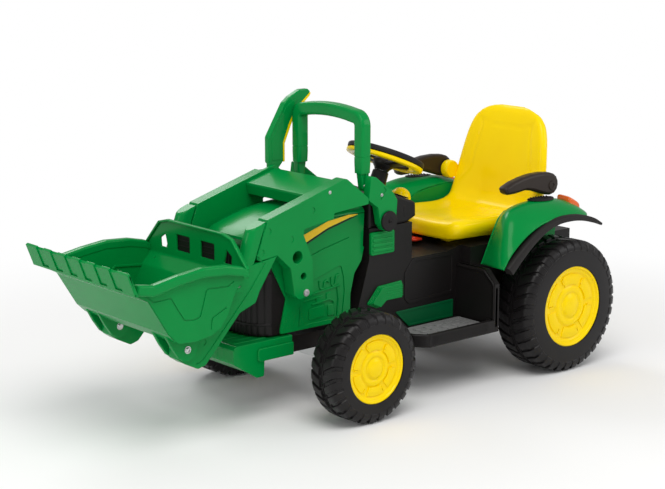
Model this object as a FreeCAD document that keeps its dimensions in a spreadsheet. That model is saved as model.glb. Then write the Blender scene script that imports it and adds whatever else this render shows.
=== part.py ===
import FreeCAD, Part
import os
import re
import Sketcher

# Ride-on tractor toy with a front loader, in millimetres.
# X points forward to the bucket, Y to the driver's left, Z up; the origin is the middle of the
# object's footprint on the floor. Outlines are measured from the rear axle and every piece is
# shifted by frame_shift, so that the origin stays in the middle of the whole length.

doc = FreeCAD.newDocument("RideOnLoader")
sheet = doc.addObject("Spreadsheet::Sheet", "Sizes")

sizes = {
    # Wheels and axles
    "wheel_base": 693.5,
    "track_half": 314.6,
    "rear_tyre_radius": 176.4,
    "rear_tyre_width": 121.4,
    "rear_rim_radius": 107.6,
    "front_tyre_radius": 135.8,
    "front_tyre_width": 97.4,
    "front_rim_radius": 85.1,
    "tyre_wall": 5,
    "tyre_shoulder": 15,
    "tread_groove_width": 9,
    "tread_groove_depth": 6,
    "rim_wall": 5,
    "rim_hub_radius": 24,
    "rim_face_inset": 8,
    "rim_hub_proud": 6,
    "rear_axle_radius": 7,
    "stub_axle_radius": 6,
    "axle_end_gap": 2,
    "running_gap": 0.05,
    "fixed_gap": 0.3,
    "part_gap": 1,
    "cut_over": 10,
    # Front axle and steering
    "kingpin_gap": 27.2,
    "kingpin_radius": 5,
    "knuckle_radius": 13,
    "knuckle_height": 52,
    "fork_ear": 8,
    "fork_depth": 36,
    "beam_height": 26,
    "steer_arm": 68,
    "steer_arm_width": 14,
    "steer_arm_thick": 6,
    "steer_arm_drop": 18,
    "tie_pin_radius": 3,
    "tie_eye_radius": 8,
    "tie_bar_width": 24,
    "tie_bar_thick": 6,
    "tie_bar_gap": 2,
    "crank_radius": 45,
    "crank_thick": 6,
    "crank_boss_radius": 9,
    "crank_pin_length": 20,
    "crank_slot_length": 26,
    "crank_slot_back": 3.2,
    "tie_tongue_width": 24,
    "crank_slot_width": 8,
    "column_radius": 7,
    "crank_lift": 9.06,
    "steering_tilt": 23.3,
    "wheel_hub_x": 387, "wheel_hub_z": 575,
    "wheel_grip_radius": 103,
    "wheel_rim_width": 20,
    "grip_height": 13,
    "ring_height": 9,
    "hub_radius": 30,
    "hub_height": 22,
    "spoke_width": 26,
    "spoke_thick": 9,
    "sleeve_radius": 20,
    "sleeve_length": 88,
    "sleeve_start": 22,
    # Chassis tub, dash and footboards
    "tub_half_width": 128,
    "tub_wall": 3.5,
    "tub_floor": 150,
    "tub_rear_x": -150, "tub_rear_z": 150,
    "tub_rear_top_x": 0, "tub_rear_top_z": 195,
    "seat_step_x": 235, "seat_step_z": 345,
    "tunnel_rear_x": 285, "tunnel_rear_z": 335,
    "dash_foot_x": 410, "dash_foot_z": 335,
    "dash_rear_x": 0, "dash_rear_z": 94,
    "dash_front_x": 555, "dash_front_z": 429,
    "dash_shin_x": 0, "dash_shin_z": -80,
    "dash_toe_x": 45, "dash_toe_z": -225,
    "dash_floor_x": 45, "dash_floor_z": -279,
    "nose_front": 868,
    "nose_half_width": 104,
    "nose_top": 190,
    "seat_base_gap": 29.2,
    "seat_base_low": 232,
    "board_rear": 235,
    "board_front": 512,
    "board_half_width": 270,
    "board_low": 141,
    "board_top": 157,
    "board_corner": 34,
    "board_rim_height": 15,
    "board_rim_width": 9,
    "leg_wall_thick": 16,
    "leg_wall_top": 300,
    "board_inner_front": 440,
    "board_inner_reach": 215,
    "tray_thick": 4,
    "tray_front": 540,
    "mat_thick": 6,
    "mat_rear": 262,
    "mat_front": 498,
    "mat_inset": 22,
    "mat_inner": 150,
    "mat_outer": 248,
    # Hood, grille and bumper
    "hood_half_width": 116,
    "hood_wall": 3.5,
    "hood_crown": 26,
    "hood_sole_rear_x": 607, "hood_sole_rear_z": 205,
    "hood_heel_x": -1, "hood_heel_z": 66,
    "hood_waist_x": -37, "hood_waist_z": 145,
    "hood_shoulder_x": -46, "hood_shoulder_z": 180,
    "hood_top_rear_x": -46, "hood_top_rear_z": 293,
    "hood_brow_x": 760, "hood_brow_z": 485,
    "hood_nose_x": 130, "hood_nose_z": -45,
    "hood_lip_x": 95, "hood_lip_z": -111,
    "hood_cheek_x": 51, "hood_cheek_z": -196,
    "hood_chin_x": 69, "hood_chin_z": -280,
    "grille_rear": 800,
    "grille_side_front": 838,
    "grille_mid_front": 882,
    "grille_front": 893,
    "grille_half_width": 111,
    "grille_mid_half": 62,
    "grille_low": 204,
    "grille_top": 404,
    "grille_wall": 5,
    "bumper_half_width": 122,
    "bumper_wall": 4,
    "bumper_front_top_x": 975, "bumper_front_top_z": 200,
    "bumper_front_low_x": 0, "bumper_front_low_z": -43,
    "bumper_tooth_x": -71, "bumper_tooth_z": -88,
    "bumper_tooth_rear_x": -91, "bumper_tooth_rear_z": -86,
    "bumper_rear_low_x": -93, "bumper_rear_low_z": -42,
    "bumper_tail_low_x": -178, "bumper_tail_low_z": -42,
    "bumper_tail_top_x": -178, "bumper_tail_top_z": 0,
    "bumper_bar_proud": 6,
    "bumper_bar_low": 151,
    "bumper_bar_height": 33,
    "bumper_bar_length": 110,
    "bumper_bar_rear": 797,
    # Console, side panels and trims
    "console_rear_low_x": 396, "console_rear_low_z": 443,
    "console_rear_top_x": 1, "console_rear_top_z": 36,
    "console_brow_x": 70, "console_brow_z": 62,
    "console_front_top_x": 160, "console_front_top_z": 60,
    "console_front_low_x": 160, "console_front_low_z": -14,
    "console_foot_x": 32, "console_foot_z": -14,
    "console_wall": 3.5,
    "panel_rear": 478,
    "panel_front": 556,
    "panel_low": 362,
    "panel_top": 420,
    "panel_proud": 12,
    "step_rear_low_x": 447, "step_rear_low_z": 238,
    "step_rear_top_x": 0, "step_rear_top_z": 45,
    "step_knee_x": 80, "step_knee_z": 41,
    "step_front_x": 118, "step_front_z": 0,
    "step_front_low_x": 84, "step_front_low_z": -16,
    "step_belly_x": 62, "step_belly_z": 0,
    "step_proud": 14,
    "strip_rear_low_x": 262, "strip_rear_low_z": 158,
    "strip_rear_top_x": 0, "strip_rear_top_z": 47,
    "strip_front_top_x": 206, "strip_front_top_z": 45,
    "strip_front_low_x": 158, "strip_front_low_z": 0,
    "strip_proud": 3,
    # Fenders, lamps and top inserts
    "fender_gap": 21.2,
    "fender_crest_reach": 60,
    "fender_inset": 14.6,
    "fender_wall": 4,
    "fender_in_foot_x": 200, "fender_in_foot_z": 300,
    "fender_in_shoulder_x": 128, "fender_in_shoulder_z": 418,
    "fender_in_top_x": 15, "fender_in_top_z": 438,
    "fender_in_tail_x": -92, "fender_in_tail_z": 424,
    "fender_mid_foot_x": 228, "fender_mid_foot_z": 305,
    "fender_mid_shoulder_x": 178, "fender_mid_shoulder_z": 438,
    "fender_mid_top_x": 62, "fender_mid_top_z": 457,
    "fender_mid_tail_x": -78, "fender_mid_tail_z": 428,
    "fender_out_foot_x": 254, "fender_out_foot_z": 310,
    "fender_out_shoulder_x": 200, "fender_out_shoulder_z": 366,
    "fender_out_top_x": 90, "fender_out_top_z": 418,
    "fender_out_tail_x": -52, "fender_out_tail_z": 410,
    "trim_reach": 12,
    "trim_wall": 9,
    "trim_foot_x": 228, "trim_foot_z": 304,
    "trim_knee_x": 150, "trim_knee_z": 372,
    "trim_top_x": 60, "trim_top_z": 408,
    "trim_mid_x": -5, "trim_mid_z": 408,
    "trim_tip_x": -112, "trim_tip_z": 376,
    "lamp_inset": 36,
    "lamp_width": 50,
    "lamp_rear_low_x": -4, "lamp_rear_low_z": 1,
    "lamp_rear_top_x": 0, "lamp_rear_top_z": 13,
    "lamp_front_top_x": 38, "lamp_front_top_z": 19,
    "lamp_front_low_x": 38, "lamp_front_low_z": 10,
    "insert_inset": 40,
    "insert_width": 40,
    "insert_height": 4,
    "insert_rear_x": -62, "insert_rear_z": -11,
    "insert_mid_x": 0, "insert_mid_z": 1,
    "insert_front_x": 32, "insert_front_z": -3,
    # Drive
    "gearbox_rear": -46,
    "gearbox_length": 120,
    "gearbox_gap": 12.9,
    "gearbox_low": 128,
    "gearbox_height": 98,
    "motor_radius": 19,
    "motor_length": 62,
    "motor_x": 52,
    "motor_z": 205,
    "battery_rear": 262,
    "battery_length": 150,
    "battery_width": 100,
    "battery_height": 95,
    "hitch_length": 22,
    "hitch_half_width": 24,
    "hitch_thick": 8,
    "hitch_low": 172,
    "hitch_bore_radius": 5.2,
    "hitch_bore_back": 11,
    # Seat
    "rail_half_gap": 62,
    "rail_width": 14,
    "rail_height": 10.7,
    "rail_rear": -95,
    "rail_length": 300,
    "seat_half_width": 158,
    "seat_wall": 4,
    "seat_front_low_x": 268, "seat_front_low_z": 356,
    "seat_front_top_x": 4, "seat_front_top_z": 58,
    "seat_dish_x": -228, "seat_dish_z": 44,
    "seat_back_top_x": -300, "seat_back_top_z": 314,
    "seat_rear_top_x": -338, "seat_rear_top_z": 312,
    "seat_rear_mid_x": -322, "seat_rear_mid_z": 60,
    "seat_rear_low_x": -300, "seat_rear_low_z": 0,
    "seat_hollow_rise": 196,
    "runner_wall": 7,
    "runner_front_gap": 30,
    "seat_back_corner": 70,
    "seat_boss_radius": 24,
    "seat_boss_reach": 184,
    "armrest_pivot_x": -14, "armrest_pivot_z": 486,
    "armrest_inner": 187,
    "armrest_width": 30,
    "armrest_rear_radius": 26,
    "armrest_top_rear_x": 30, "armrest_top_rear_z": 34,
    "armrest_top_mid_x": 97, "armrest_top_mid_z": 30,
    "armrest_tip_top_x": 166, "armrest_tip_top_z": 12,
    "armrest_tip_low_x": 156, "armrest_tip_low_z": -8,
    "armrest_low_front_x": 118, "armrest_low_front_z": -9,
    "armrest_pin_radius": 5,
    "armrest_screw_radius": 9,
    "latch_length": 34,
    "latch_width": 66,
    "latch_thick": 6,
    "latch_front": 306,
    "latch_low": 346,
    "latch_side": -8,
    # Pedal and gear lever
    "pedal_hinge_x": 392,
    "pedal_hinge_z": 172,
    "pedal_side": -232,
    "pedal_width": 52,
    "pedal_length": 74,
    "pedal_thick": 6,
    "pedal_angle": 20,
    "pedal_pin_radius": 3,
    "pedal_barrel_radius": 6,
    "pedal_ear": 5,
    "gear_x": 332,
    "gear_ball_height": 464,
    "gear_ball_radius": 27,
    "gear_rod_radius": 6,
    "gear_boot_radius": 16,
    "gear_boot_height": 12,
    "gear_boot_lift": 5,
    # Loader
    "loader_pivot_x": 517, "loader_pivot_z": 449,
    "pivot_pin_radius": 8,
    "pivot_disc_radius": 26,
    "pivot_disc_thick": 9,
    "arm_inner": 120,
    "arm_width": 36,
    "arm_wall": 4,
    "boom_rear_x": 65, "boom_rear_z": 50,
    "boom_tail_x": 0, "boom_tail_z": 15,
    "boom_hump_x": 72, "boom_hump_z": 72,
    "belly_front_x": 111, "belly_front_z": -22,
    "belly_rear_x": 111, "belly_rear_z": -9,
    "boom_nose_x": 379, "boom_nose_z": 50,
    "boom_chin_x": 38, "boom_chin_z": -96,
    "arm_crook_x": -27, "arm_crook_z": -88,
    "boom_knee_x": 269, "boom_knee_z": 14,
    "leg_front_x": 42, "leg_front_z": -89.5,
    "leg_toe_x": 31, "leg_toe_z": -156,
    "leg_sole_x": 16, "leg_sole_z": -169.5,
    "leg_heel_x": -27, "leg_heel_z": -163,
    "leg_back_x": -26, "leg_back_z": -77,
    "leg_hock_x": 2, "leg_hock_z": -13.5,
    "leg_eye_x": 21, "leg_eye_z": -65,
    "leg_eye_radius": 15,
    "leg_peep_x": 3, "leg_peep_z": -113.5,
    "leg_peep_radius": 8.5,
    "leg_bolt_x": -5, "leg_bolt_z": -155,
    "bucket_pivot_x": 622, "bucket_pivot_z": -215,
    "fore_elbow_x": -217, "fore_elbow_z": 100,
    "fore_notch_x": -205, "fore_notch_z": 74,
    "fore_under_x": -158, "fore_under_z": 57,
    "fore_calf_x": -87, "fore_calf_z": -20,
    "fore_heel_x": -59, "fore_heel_z": -49,
    "fore_toe_x": -37, "fore_toe_z": -55,
    "fore_tip_x": 0, "fore_tip_z": -36,
    "fore_point_x": 20, "fore_point_z": -22,
    "fore_brow_x": 19, "fore_brow_z": 9,
    "fore_front_x": 11, "fore_front_z": 18,
    "fore_shelf_x": -61, "fore_shelf_z": 18,
    "fore_shin_x": -113, "fore_shin_z": 62,
    "fore_chest_x": -139, "fore_chest_z": 111,
    "fore_neck_x": -159, "fore_neck_z": 160,
    "fore_collar_x": 74, "fore_collar_z": -59,
    "fore_cap_x": 50, "fore_cap_z": -20,
    "bracket_inner": 132.5,
    "bracket_thick": 23,
    "bracket_peak_x": 56, "bracket_peak_z": 118,
    "bracket_crown_x": 40, "bracket_crown_z": 113.5,
    "bracket_back_x": -18, "bracket_back_z": 69,
    "bracket_rear_x": -31, "bracket_rear_z": 50,
    "bracket_hip_x": -27, "bracket_hip_z": -4,
    "bracket_sole_rear_x": -14, "bracket_sole_rear_z": -24,
    "bracket_sole_x": 10, "bracket_sole_z": -25,
    "bracket_toe_x": 25, "bracket_toe_z": -6,
    "bracket_shin_x": 33, "bracket_shin_z": 36.5,
    "bracket_front_x": 64.5, "bracket_front_z": 59,
    "beam_rear_top_x": 70, "beam_rear_top_z": 61,
    "beam_front_top_x": 166, "beam_front_top_z": 34,
    "beam_plate": 6,
    "beam_flange_drop": 22,
    "handle_rear": 556,
    "handle_depth": 32,
    "handle_half_width": 137,
    "handle_bar": 33,
    "handle_top": 735,
    "handle_corner": 46,
    "handle_low": 570,
    "handle_foot": 526,
    "tongue_outer": 131.5,
    "tongue_inner": 112,
    "handle_round": 8,
    "screw_radius": 5,
    "screw_head": 3,
    "screw_boom_x": 125, "screw_boom_z": 44,
    "screw_tongue_x": 58, "screw_tongue_z": 92,
    "screw_bracket_x": 22, "screw_bracket_z": 68,
    "nut_radius": 8,
    "nut_height": 7,
    # Bucket
    "bucket_half_width": 190,
    "bucket_rim_half_width": 207,
    "bucket_wall": 4,
    "back_low_x": -147, "back_low_z": 150,
    "back_knee_x": -120, "back_knee_z": 122,
    "back_heel_x": -96, "back_heel_z": 69,
    "base_rear_x": -49, "base_rear_z": 29,
    "base_mid_x": -4, "base_mid_z": 23,
    "base_front_x": 41, "base_front_z": 26,
    "sheet_low_x": 66, "sheet_low_z": 51,
    "sheet_mid_x": 118, "sheet_mid_z": 135,
    "sheet_top_x": 168, "sheet_top_z": 160,
    "rim_lip_x": 152, "rim_lip_z": 180,
    "rim_front_x": 111, "rim_front_z": 174,
    "rim_mid_x": 45, "rim_mid_z": 185,
    "rim_crest_x": -20, "rim_crest_z": 193,
    "rim_rear_x": -87, "rim_rear_z": 189,
    "rim_corner_x": -149, "rim_corner_z": 170,
    "rim_band": 24,
    "plate_top": 241,
    "plate_top_half_width": 121,
    "plate_shoulder": 232,
    "plate_shoulder_half_width": 148,
    "plate_thick": 6,
    "plate_proud": 1,
    "plate_foot": 150,
    "window_low": 169,
    "window_height": 40,
    "window_inner": 24,
    "window_width": 50,
    "end_window_inner": 112,
    "end_window_width": 44,
    "lug_inner_start": 108,
    "lug_outer_start": 157,
    "lug_thick": 11,
    "lug_radius": 27,
    "lug_front_reach": 41,
    "lug_front_rise": 9,
    "lug_root_front": 64,
    "lug_root_rear": 49,
    "lug_root_rise": 54,
    "bolt_radius": 6,
    "bolt_head_radius": 9,
    "bolt_head_height": 5,
    "edge_heel_x": 158, "edge_heel_z": 156,
    "edge_toe_x": 167, "edge_toe_z": 156,
    "edge_tip_x": 187, "edge_tip_z": 209,
    "edge_back_x": 180, "edge_back_z": 212,
    "edge_half_width": 214,
    "tooth_gap_count": 6,
    "tooth_gap_width": 30,
    "tooth_gap_pitch": 61,
    "tooth_gap_depth": 4,
    # Dump lever and the link inside the right arm
    "lever_pivot_x": 133, "lever_pivot_z": 99,
    "lever_pin_radius": 4,
    "lever_inner": 138,
    "lever_width": 18,
    "crank_inner": 138,
    "crank_width": 11,
    "crank_arm_radius": 9,
    "crank_pin_start": 130,
    "lever_crank_x": -12, "lever_crank_z": -36,
    "crank_pin_radius": 3,
    "lever_base_front_x": 10, "lever_base_front_z": 22,
    "lever_kink_front_x": 10, "lever_kink_front_z": 90,
    "lever_bend_front_x": -42, "lever_bend_front_z": 174,
    "lever_tip_front_x": -94, "lever_tip_front_z": 205,
    "lever_tip_rear_x": -124, "lever_tip_rear_z": 204,
    "lever_tip_low_x": -126, "lever_tip_low_z": 194,
    "lever_bend_rear_x": -76, "lever_bend_rear_z": 155,
    "lever_kink_rear_x": -36, "lever_kink_rear_z": 84,
    "lever_base_rear_x": -38, "lever_base_rear_z": 24,
    "lever_slot_front": 42,
    "lever_slot_rear": 46,
    "lever_slot_low": 520,
    "slot_outer": 150,
    "fork_reach": 31,
    "fork_relief": 38,
    "strip_thick": 5,
    "link_inner": 131,
    "link_width": 6,
    "link_thick": 7,
    "link_eye_radius": 6,
    "link_eye_wall": 3,
    "link_bend_x": 388, "link_bend_z": 3,
    "link_knee_x": 430, "link_knee_z": -82,
    "link_shin_x": 488, "link_shin_z": -152,
    "link_calf_x": 548, "link_calf_z": -205,
    "bucket_crank_x": -1, "bucket_crank_z": -21.4,
    "link_end_x": -1.2, "link_end_z": -1.5,
    "middle_lug_radius": 17,
}

# The corners that are measured from another corner instead of from the rear axle
measured_from = {
    "tub_rear": ["tub_rear_top"],
    "dash_foot": ["dash_rear"],
    "dash_front": ["dash_shin", "dash_toe", "dash_floor"],
    "hood_sole_rear": ["hood_heel", "hood_waist", "hood_shoulder", "hood_top_rear"],
    "hood_brow": ["hood_nose", "hood_lip", "hood_cheek", "hood_chin"],
    "bumper_front_top": ["bumper_front_low", "bumper_tooth", "bumper_tooth_rear", "bumper_rear_low",
        "bumper_tail_low", "bumper_tail_top"],
    "console_rear_low": ["console_rear_top", "console_brow", "console_front_top", "console_front_low",
        "console_foot"],
    "step_rear_low": ["step_rear_top", "step_knee", "step_front", "step_front_low", "step_belly"],
    "strip_rear_low": ["strip_rear_top", "strip_front_top", "strip_front_low"],
    "fender_mid_tail": ["lamp_rear_low", "lamp_rear_top", "lamp_front_top", "lamp_front_low"],
    "fender_mid_top": ["insert_rear", "insert_mid", "insert_front"],
    "seat_front_low": ["seat_front_top", "seat_dish", "seat_back_top", "seat_rear_top",
        "seat_rear_mid", "seat_rear_low"],
    "armrest_pivot": ["armrest_top_rear", "armrest_top_mid", "armrest_tip_top", "armrest_tip_low",
        "armrest_low_front"],
    "loader_pivot": ["boom_rear", "boom_nose", "boom_knee", "bucket_pivot", "bracket_peak",
        "bracket_crown", "bracket_back", "bracket_rear", "bracket_hip", "bracket_sole_rear",
        "bracket_sole", "bracket_toe", "bracket_shin", "bracket_front", "screw_tongue",
        "screw_bracket", "lever_pivot", "link_bend", "link_knee", "link_shin", "link_calf"],
    "boom_rear": ["boom_tail", "boom_hump", "belly_front", "belly_rear", "beam_rear_top",
        "beam_front_top", "screw_boom"],
    "boom_nose": ["boom_chin", "arm_crook", "fore_collar", "fore_cap"],
    "boom_knee": ["leg_front", "leg_toe", "leg_sole", "leg_heel", "leg_back", "leg_hock", "leg_eye",
        "leg_peep", "leg_bolt"],
    "bucket_pivot": ["fore_elbow", "fore_notch", "fore_under", "fore_calf", "fore_heel", "fore_toe",
        "fore_tip", "fore_point", "fore_brow", "fore_front", "fore_shelf", "fore_shin", "fore_chest",
        "fore_neck", "back_low", "back_knee", "back_heel", "base_rear", "base_mid", "base_front",
        "sheet_low", "sheet_mid", "sheet_top", "rim_lip", "rim_front", "rim_mid", "rim_crest",
        "rim_rear", "rim_corner", "edge_heel", "edge_toe", "edge_tip", "edge_back", "bucket_crank"],
    "lever_pivot": ["lever_crank", "lever_base_front", "lever_kink_front", "lever_bend_front",
        "lever_tip_front", "lever_tip_rear", "lever_tip_low", "lever_bend_rear", "lever_kink_rear",
        "lever_base_rear"],
    "bucket_crank": ["link_end"],
}
anchor_of = {name: anchor for anchor, names in measured_from.items() for name in names}

for row, (name, number) in enumerate(sizes.items(), 1):
    sheet.set(f"A{row}", name)
    sheet.set(f"B{row}", str(number))
    sheet.setAlias(f"B{row}", name)
doc.recompute()


def sheet_reference(text):
    return re.sub(r"\b([a-z]+(?:_[a-z]+)+)\b", r"Sizes.\1", text)


def value(text):
    return float(sheet.evalExpression(text))


def bind(thing, prop, text):
    thing.setExpression(prop, sheet_reference(text))


# Places that follow from the sizes
rear_inner = "(track_half - rear_tyre_width)"
seat_base_half = f"({rear_inner} - seat_base_gap)"
fender_inner = f"({rear_inner} - fender_gap)"
fender_crest = f"({fender_inner} + fender_crest_reach)"
fender_outer = "(track_half - fender_inset)"
kingpin_side = "(track_half - front_tyre_width - kingpin_gap)"
tie_top = "(front_tyre_radius - steer_arm_drop - steer_arm_thick / 2 - tie_bar_gap)"
column_length = (f"((wheel_hub_z - {tie_top} - crank_lift - crank_radius * sin(steering_tilt))"
                 " / cos(steering_tilt))")
crank_eye = f"(wheel_hub_x + {column_length} * sin(steering_tilt) - crank_radius * cos(steering_tilt))"
frame_shift = "(rear_tyre_radius - loader_pivot_x - bucket_pivot_x - edge_tip_x) / 2"
pieces = {}


def place(name, axis):
    own = f"{name}_{axis}"
    return f"{place(anchor_of[name], axis)} + {own}" if name in anchor_of else own


def across(name):
    return place(name, "x")


def height(name):
    return place(name, "z")


def spot(name, along="0", up="0"):
    return (f"{across(name)} + {along}", f"{height(name)} + {up}")


def new_body(name, along="0", side="0", up="0"):
    body = doc.addObject("PartDesign::Body", name)
    bind(body, "Placement.Base.x", f"{frame_shift} + {along}")
    bind(body, "Placement.Base.y", side)
    bind(body, "Placement.Base.z", up)
    return body


def draw_polygon(sketch, spots):
    first = sketch.GeometryCount
    points = [FreeCAD.Vector(value(a), value(b), 0) for a, b in spots]
    count = len(points)
    for i, point in enumerate(points):
        sketch.addGeometry(Part.LineSegment(point, points[(i + 1) % count]), False)
    for i in range(count):
        joint = Sketcher.Constraint("Coincident", first + i, 2, first + (i + 1) % count, 1)
        sketch.addConstraint(joint)
    for i, (a, b) in enumerate(spots):
        for kind, text, number in (("DistanceX", a, points[i].x), ("DistanceY", b, points[i].y)):
            rule = sketch.addConstraint(Sketcher.Constraint(kind, -1, 1, first + i, 1, number))
            bind(sketch, f"Constraints[{rule}]", text)


def draw_circle(sketch, centre, radius):
    middle = FreeCAD.Vector(value(centre[0]), value(centre[1]), 0)
    reach = value(radius)
    index = sketch.addGeometry(Part.Circle(middle, FreeCAD.Vector(0, 0, 1), reach), False)
    for kind, text, number in (("DistanceX", centre[0], middle.x), ("DistanceY", centre[1], middle.y)):
        rule = sketch.addConstraint(Sketcher.Constraint(kind, -1, 1, index, 3, number))
        bind(sketch, f"Constraints[{rule}]", text)
    rule = sketch.addConstraint(Sketcher.Constraint("Radius", index, reach))
    bind(sketch, f"Constraints[{rule}]", radius)


def draw(sketch, loops):
    # A loop of corners is a list; a circle is a pair of its centre and its radius.
    for loop in loops:
        if isinstance(loop, list):
            draw_polygon(sketch, loop)
        else:
            draw_circle(sketch, *loop)


def sketch_on(body, plane, level, loops):
    sketch = body.newObject("Sketcher::SketchObject", f"{body.Name}_outline")
    datum = [feature for feature in body.Origin.OriginFeatures if feature.Role == plane][0]
    sketch.AttachmentSupport = [(datum, "")]
    sketch.MapMode = "FlatFace"
    bind(sketch, "AttachmentOffset.Base.z", level)
    draw(sketch, loops)
    return sketch


def extrude(body, kind, plane, low, high, loops):
    # The sketch stands at the end that its normal leaves, which is the high end on the XZ plane.
    level = f"-({high})" if plane == "XZ_Plane" else low
    sketch = sketch_on(body, plane, level, loops)
    feature = body.newObject(f"PartDesign::{kind}", f"{body.Name}_{kind.lower()}")
    feature.Profile = sketch
    bind(feature, "Length", f"({high}) - ({low})")
    return feature


def pad(body, plane, low, high, *loops):
    return extrude(body, "Pad", plane, low, high, loops)


def pocket(body, plane, low, high, *loops):
    doc.recompute()
    before = body.Tip.Shape.Volume
    feature = extrude(body, "Pocket", plane, low, high, loops)
    feature.Reversed = True
    doc.recompute()
    if not feature.Shape.Volume < before:
        raise ValueError(f"{feature.Name} removes nothing")
    return feature


def revolve(body, plane, axis, *loops):
    sketch = sketch_on(body, plane, "0", loops)
    feature = body.newObject("PartDesign::Revolution", f"{body.Name}_turn")
    feature.Profile = sketch
    feature.ReferenceAxis = (sketch, [axis])
    feature.Angle = 360
    return feature


def round_edges(body, radius, chosen):
    doc.recompute()
    base = body.Tip
    names = [f"Edge{i + 1}" for i, edge in enumerate(base.Shape.Edges) if chosen(edge)]
    feature = body.newObject("PartDesign::Fillet", f"{body.Name}_round")
    feature.Base = (base, names)
    bind(feature, "Radius", radius)
    return feature


def block(name, low, length):
    box = doc.addObject("Part::Box", name)
    for prop, text in zip(("Length", "Width", "Height"), length):
        bind(box, prop, text)
    bind(box, "Placement.Base.x", f"{frame_shift} + {low[0]}")
    bind(box, "Placement.Base.y", low[1])
    bind(box, "Placement.Base.z", low[2])
    return box


def rod(name, start, radius, length, axis=(0, 1, 0)):
    cylinder = doc.addObject("Part::Cylinder", name)
    turn = FreeCAD.Rotation(FreeCAD.Vector(0, 0, 1), FreeCAD.Vector(*axis))
    cylinder.Placement = FreeCAD.Placement(FreeCAD.Vector(), turn)
    bind(cylinder, "Radius", radius)
    bind(cylinder, "Height", length)
    bind(cylinder, "Placement.Base.x", f"{frame_shift} + {start[0]}")
    bind(cylinder, "Placement.Base.y", start[1])
    bind(cylinder, "Placement.Base.z", start[2])
    return cylinder


def join(name, parts):
    fused = doc.addObject("Part::MultiFuse", name)
    fused.Shapes = parts
    return fused


def carve(name, base, tools):
    cut = doc.addObject("Part::Cut", name)
    cut.Base = base
    cut.Tool = tools[0] if len(tools) == 1 else join(f"{name}_tools", tools)
    return cut


def mirrored(source):
    twin = doc.addObject("Part::Mirroring", f"{source.Name}_mirror")
    twin.Source = source
    twin.Normal = FreeCAD.Vector(0, 1, 0)
    twin.Base = FreeCAD.Vector(0, 0, 0)
    return twin


def group(name, parts):
    together = doc.addObject("Part::Compound", name)
    together.Links = parts
    return together


def both_sides(name, parts):
    return group(name, parts + [mirrored(part) for part in parts])


def piece(name, thing):
    thing.Label = name
    pieces[name] = thing
    return thing


def mid_band(half):
    return f"-({half})", half


def make_tub():
    body = new_body("body_shell")
    side = ["tub_rear", "tub_rear_top", "seat_step", "tunnel_rear", "dash_foot", "dash_rear",
            "dash_front", "dash_shin", "dash_toe", "dash_floor"]
    pad(body, "XZ_Plane", *mid_band("tub_half_width"), [spot(name) for name in side])
    wing = seat_base_half
    pad(body, "XY_Plane", "seat_base_low", "seat_step_z",
        rectangle("tub_rear_x", f"-{wing}", "seat_step_x", wing))
    pad(body, "XY_Plane", "board_low", "board_top", footboard("0"))
    for flip in ("", "-"):
        rim_out = f"{flip}board_half_width"
        rim_in = f"{flip}(board_half_width - board_rim_width)"
        pad(body, "XY_Plane", "board_low", "board_top + board_rim_height",
            rectangle("board_rear", rim_in, "board_front - board_corner", rim_out))
        wall_in = f"{flip}(tub_half_width - tub_wall)"
        pad(body, "YZ_Plane", "board_rear", "board_rear + leg_wall_thick",
            [(wall_in, "board_low"), (rim_out, "board_low"), (rim_out, "leg_wall_top - board_corner"),
             (f"{flip}(board_half_width - board_corner)", "leg_wall_top"), (wall_in, "leg_wall_top")])
    pad(body, "XY_Plane", "tub_floor", "nose_top",
        rectangle("dash_front_x + dash_floor_x - tub_wall", "-nose_half_width", "nose_front",
                  "nose_half_width"))
    hollow_tub(body)
    return piece("body_shell", body)


def footboard(inset):
    left = [(f"board_rear + {inset}", f"board_half_width - {inset}"),
            (f"board_front - board_corner - {inset}", f"board_half_width - {inset}"),
            (f"board_front - {inset}", f"board_half_width - board_corner - {inset}"),
            (f"board_front - {inset}", f"board_inner_reach + {inset}"),
            (f"board_inner_front - {inset}", f"tub_half_width - tub_wall + {inset}")]
    right = [(a, f"-({b})") for a, b in reversed(left)]
    return left + right


def rectangle(low_a, low_b, high_a, high_b):
    return [(low_a, low_b), (high_a, low_b), (high_a, high_b), (low_a, high_b)]


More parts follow.
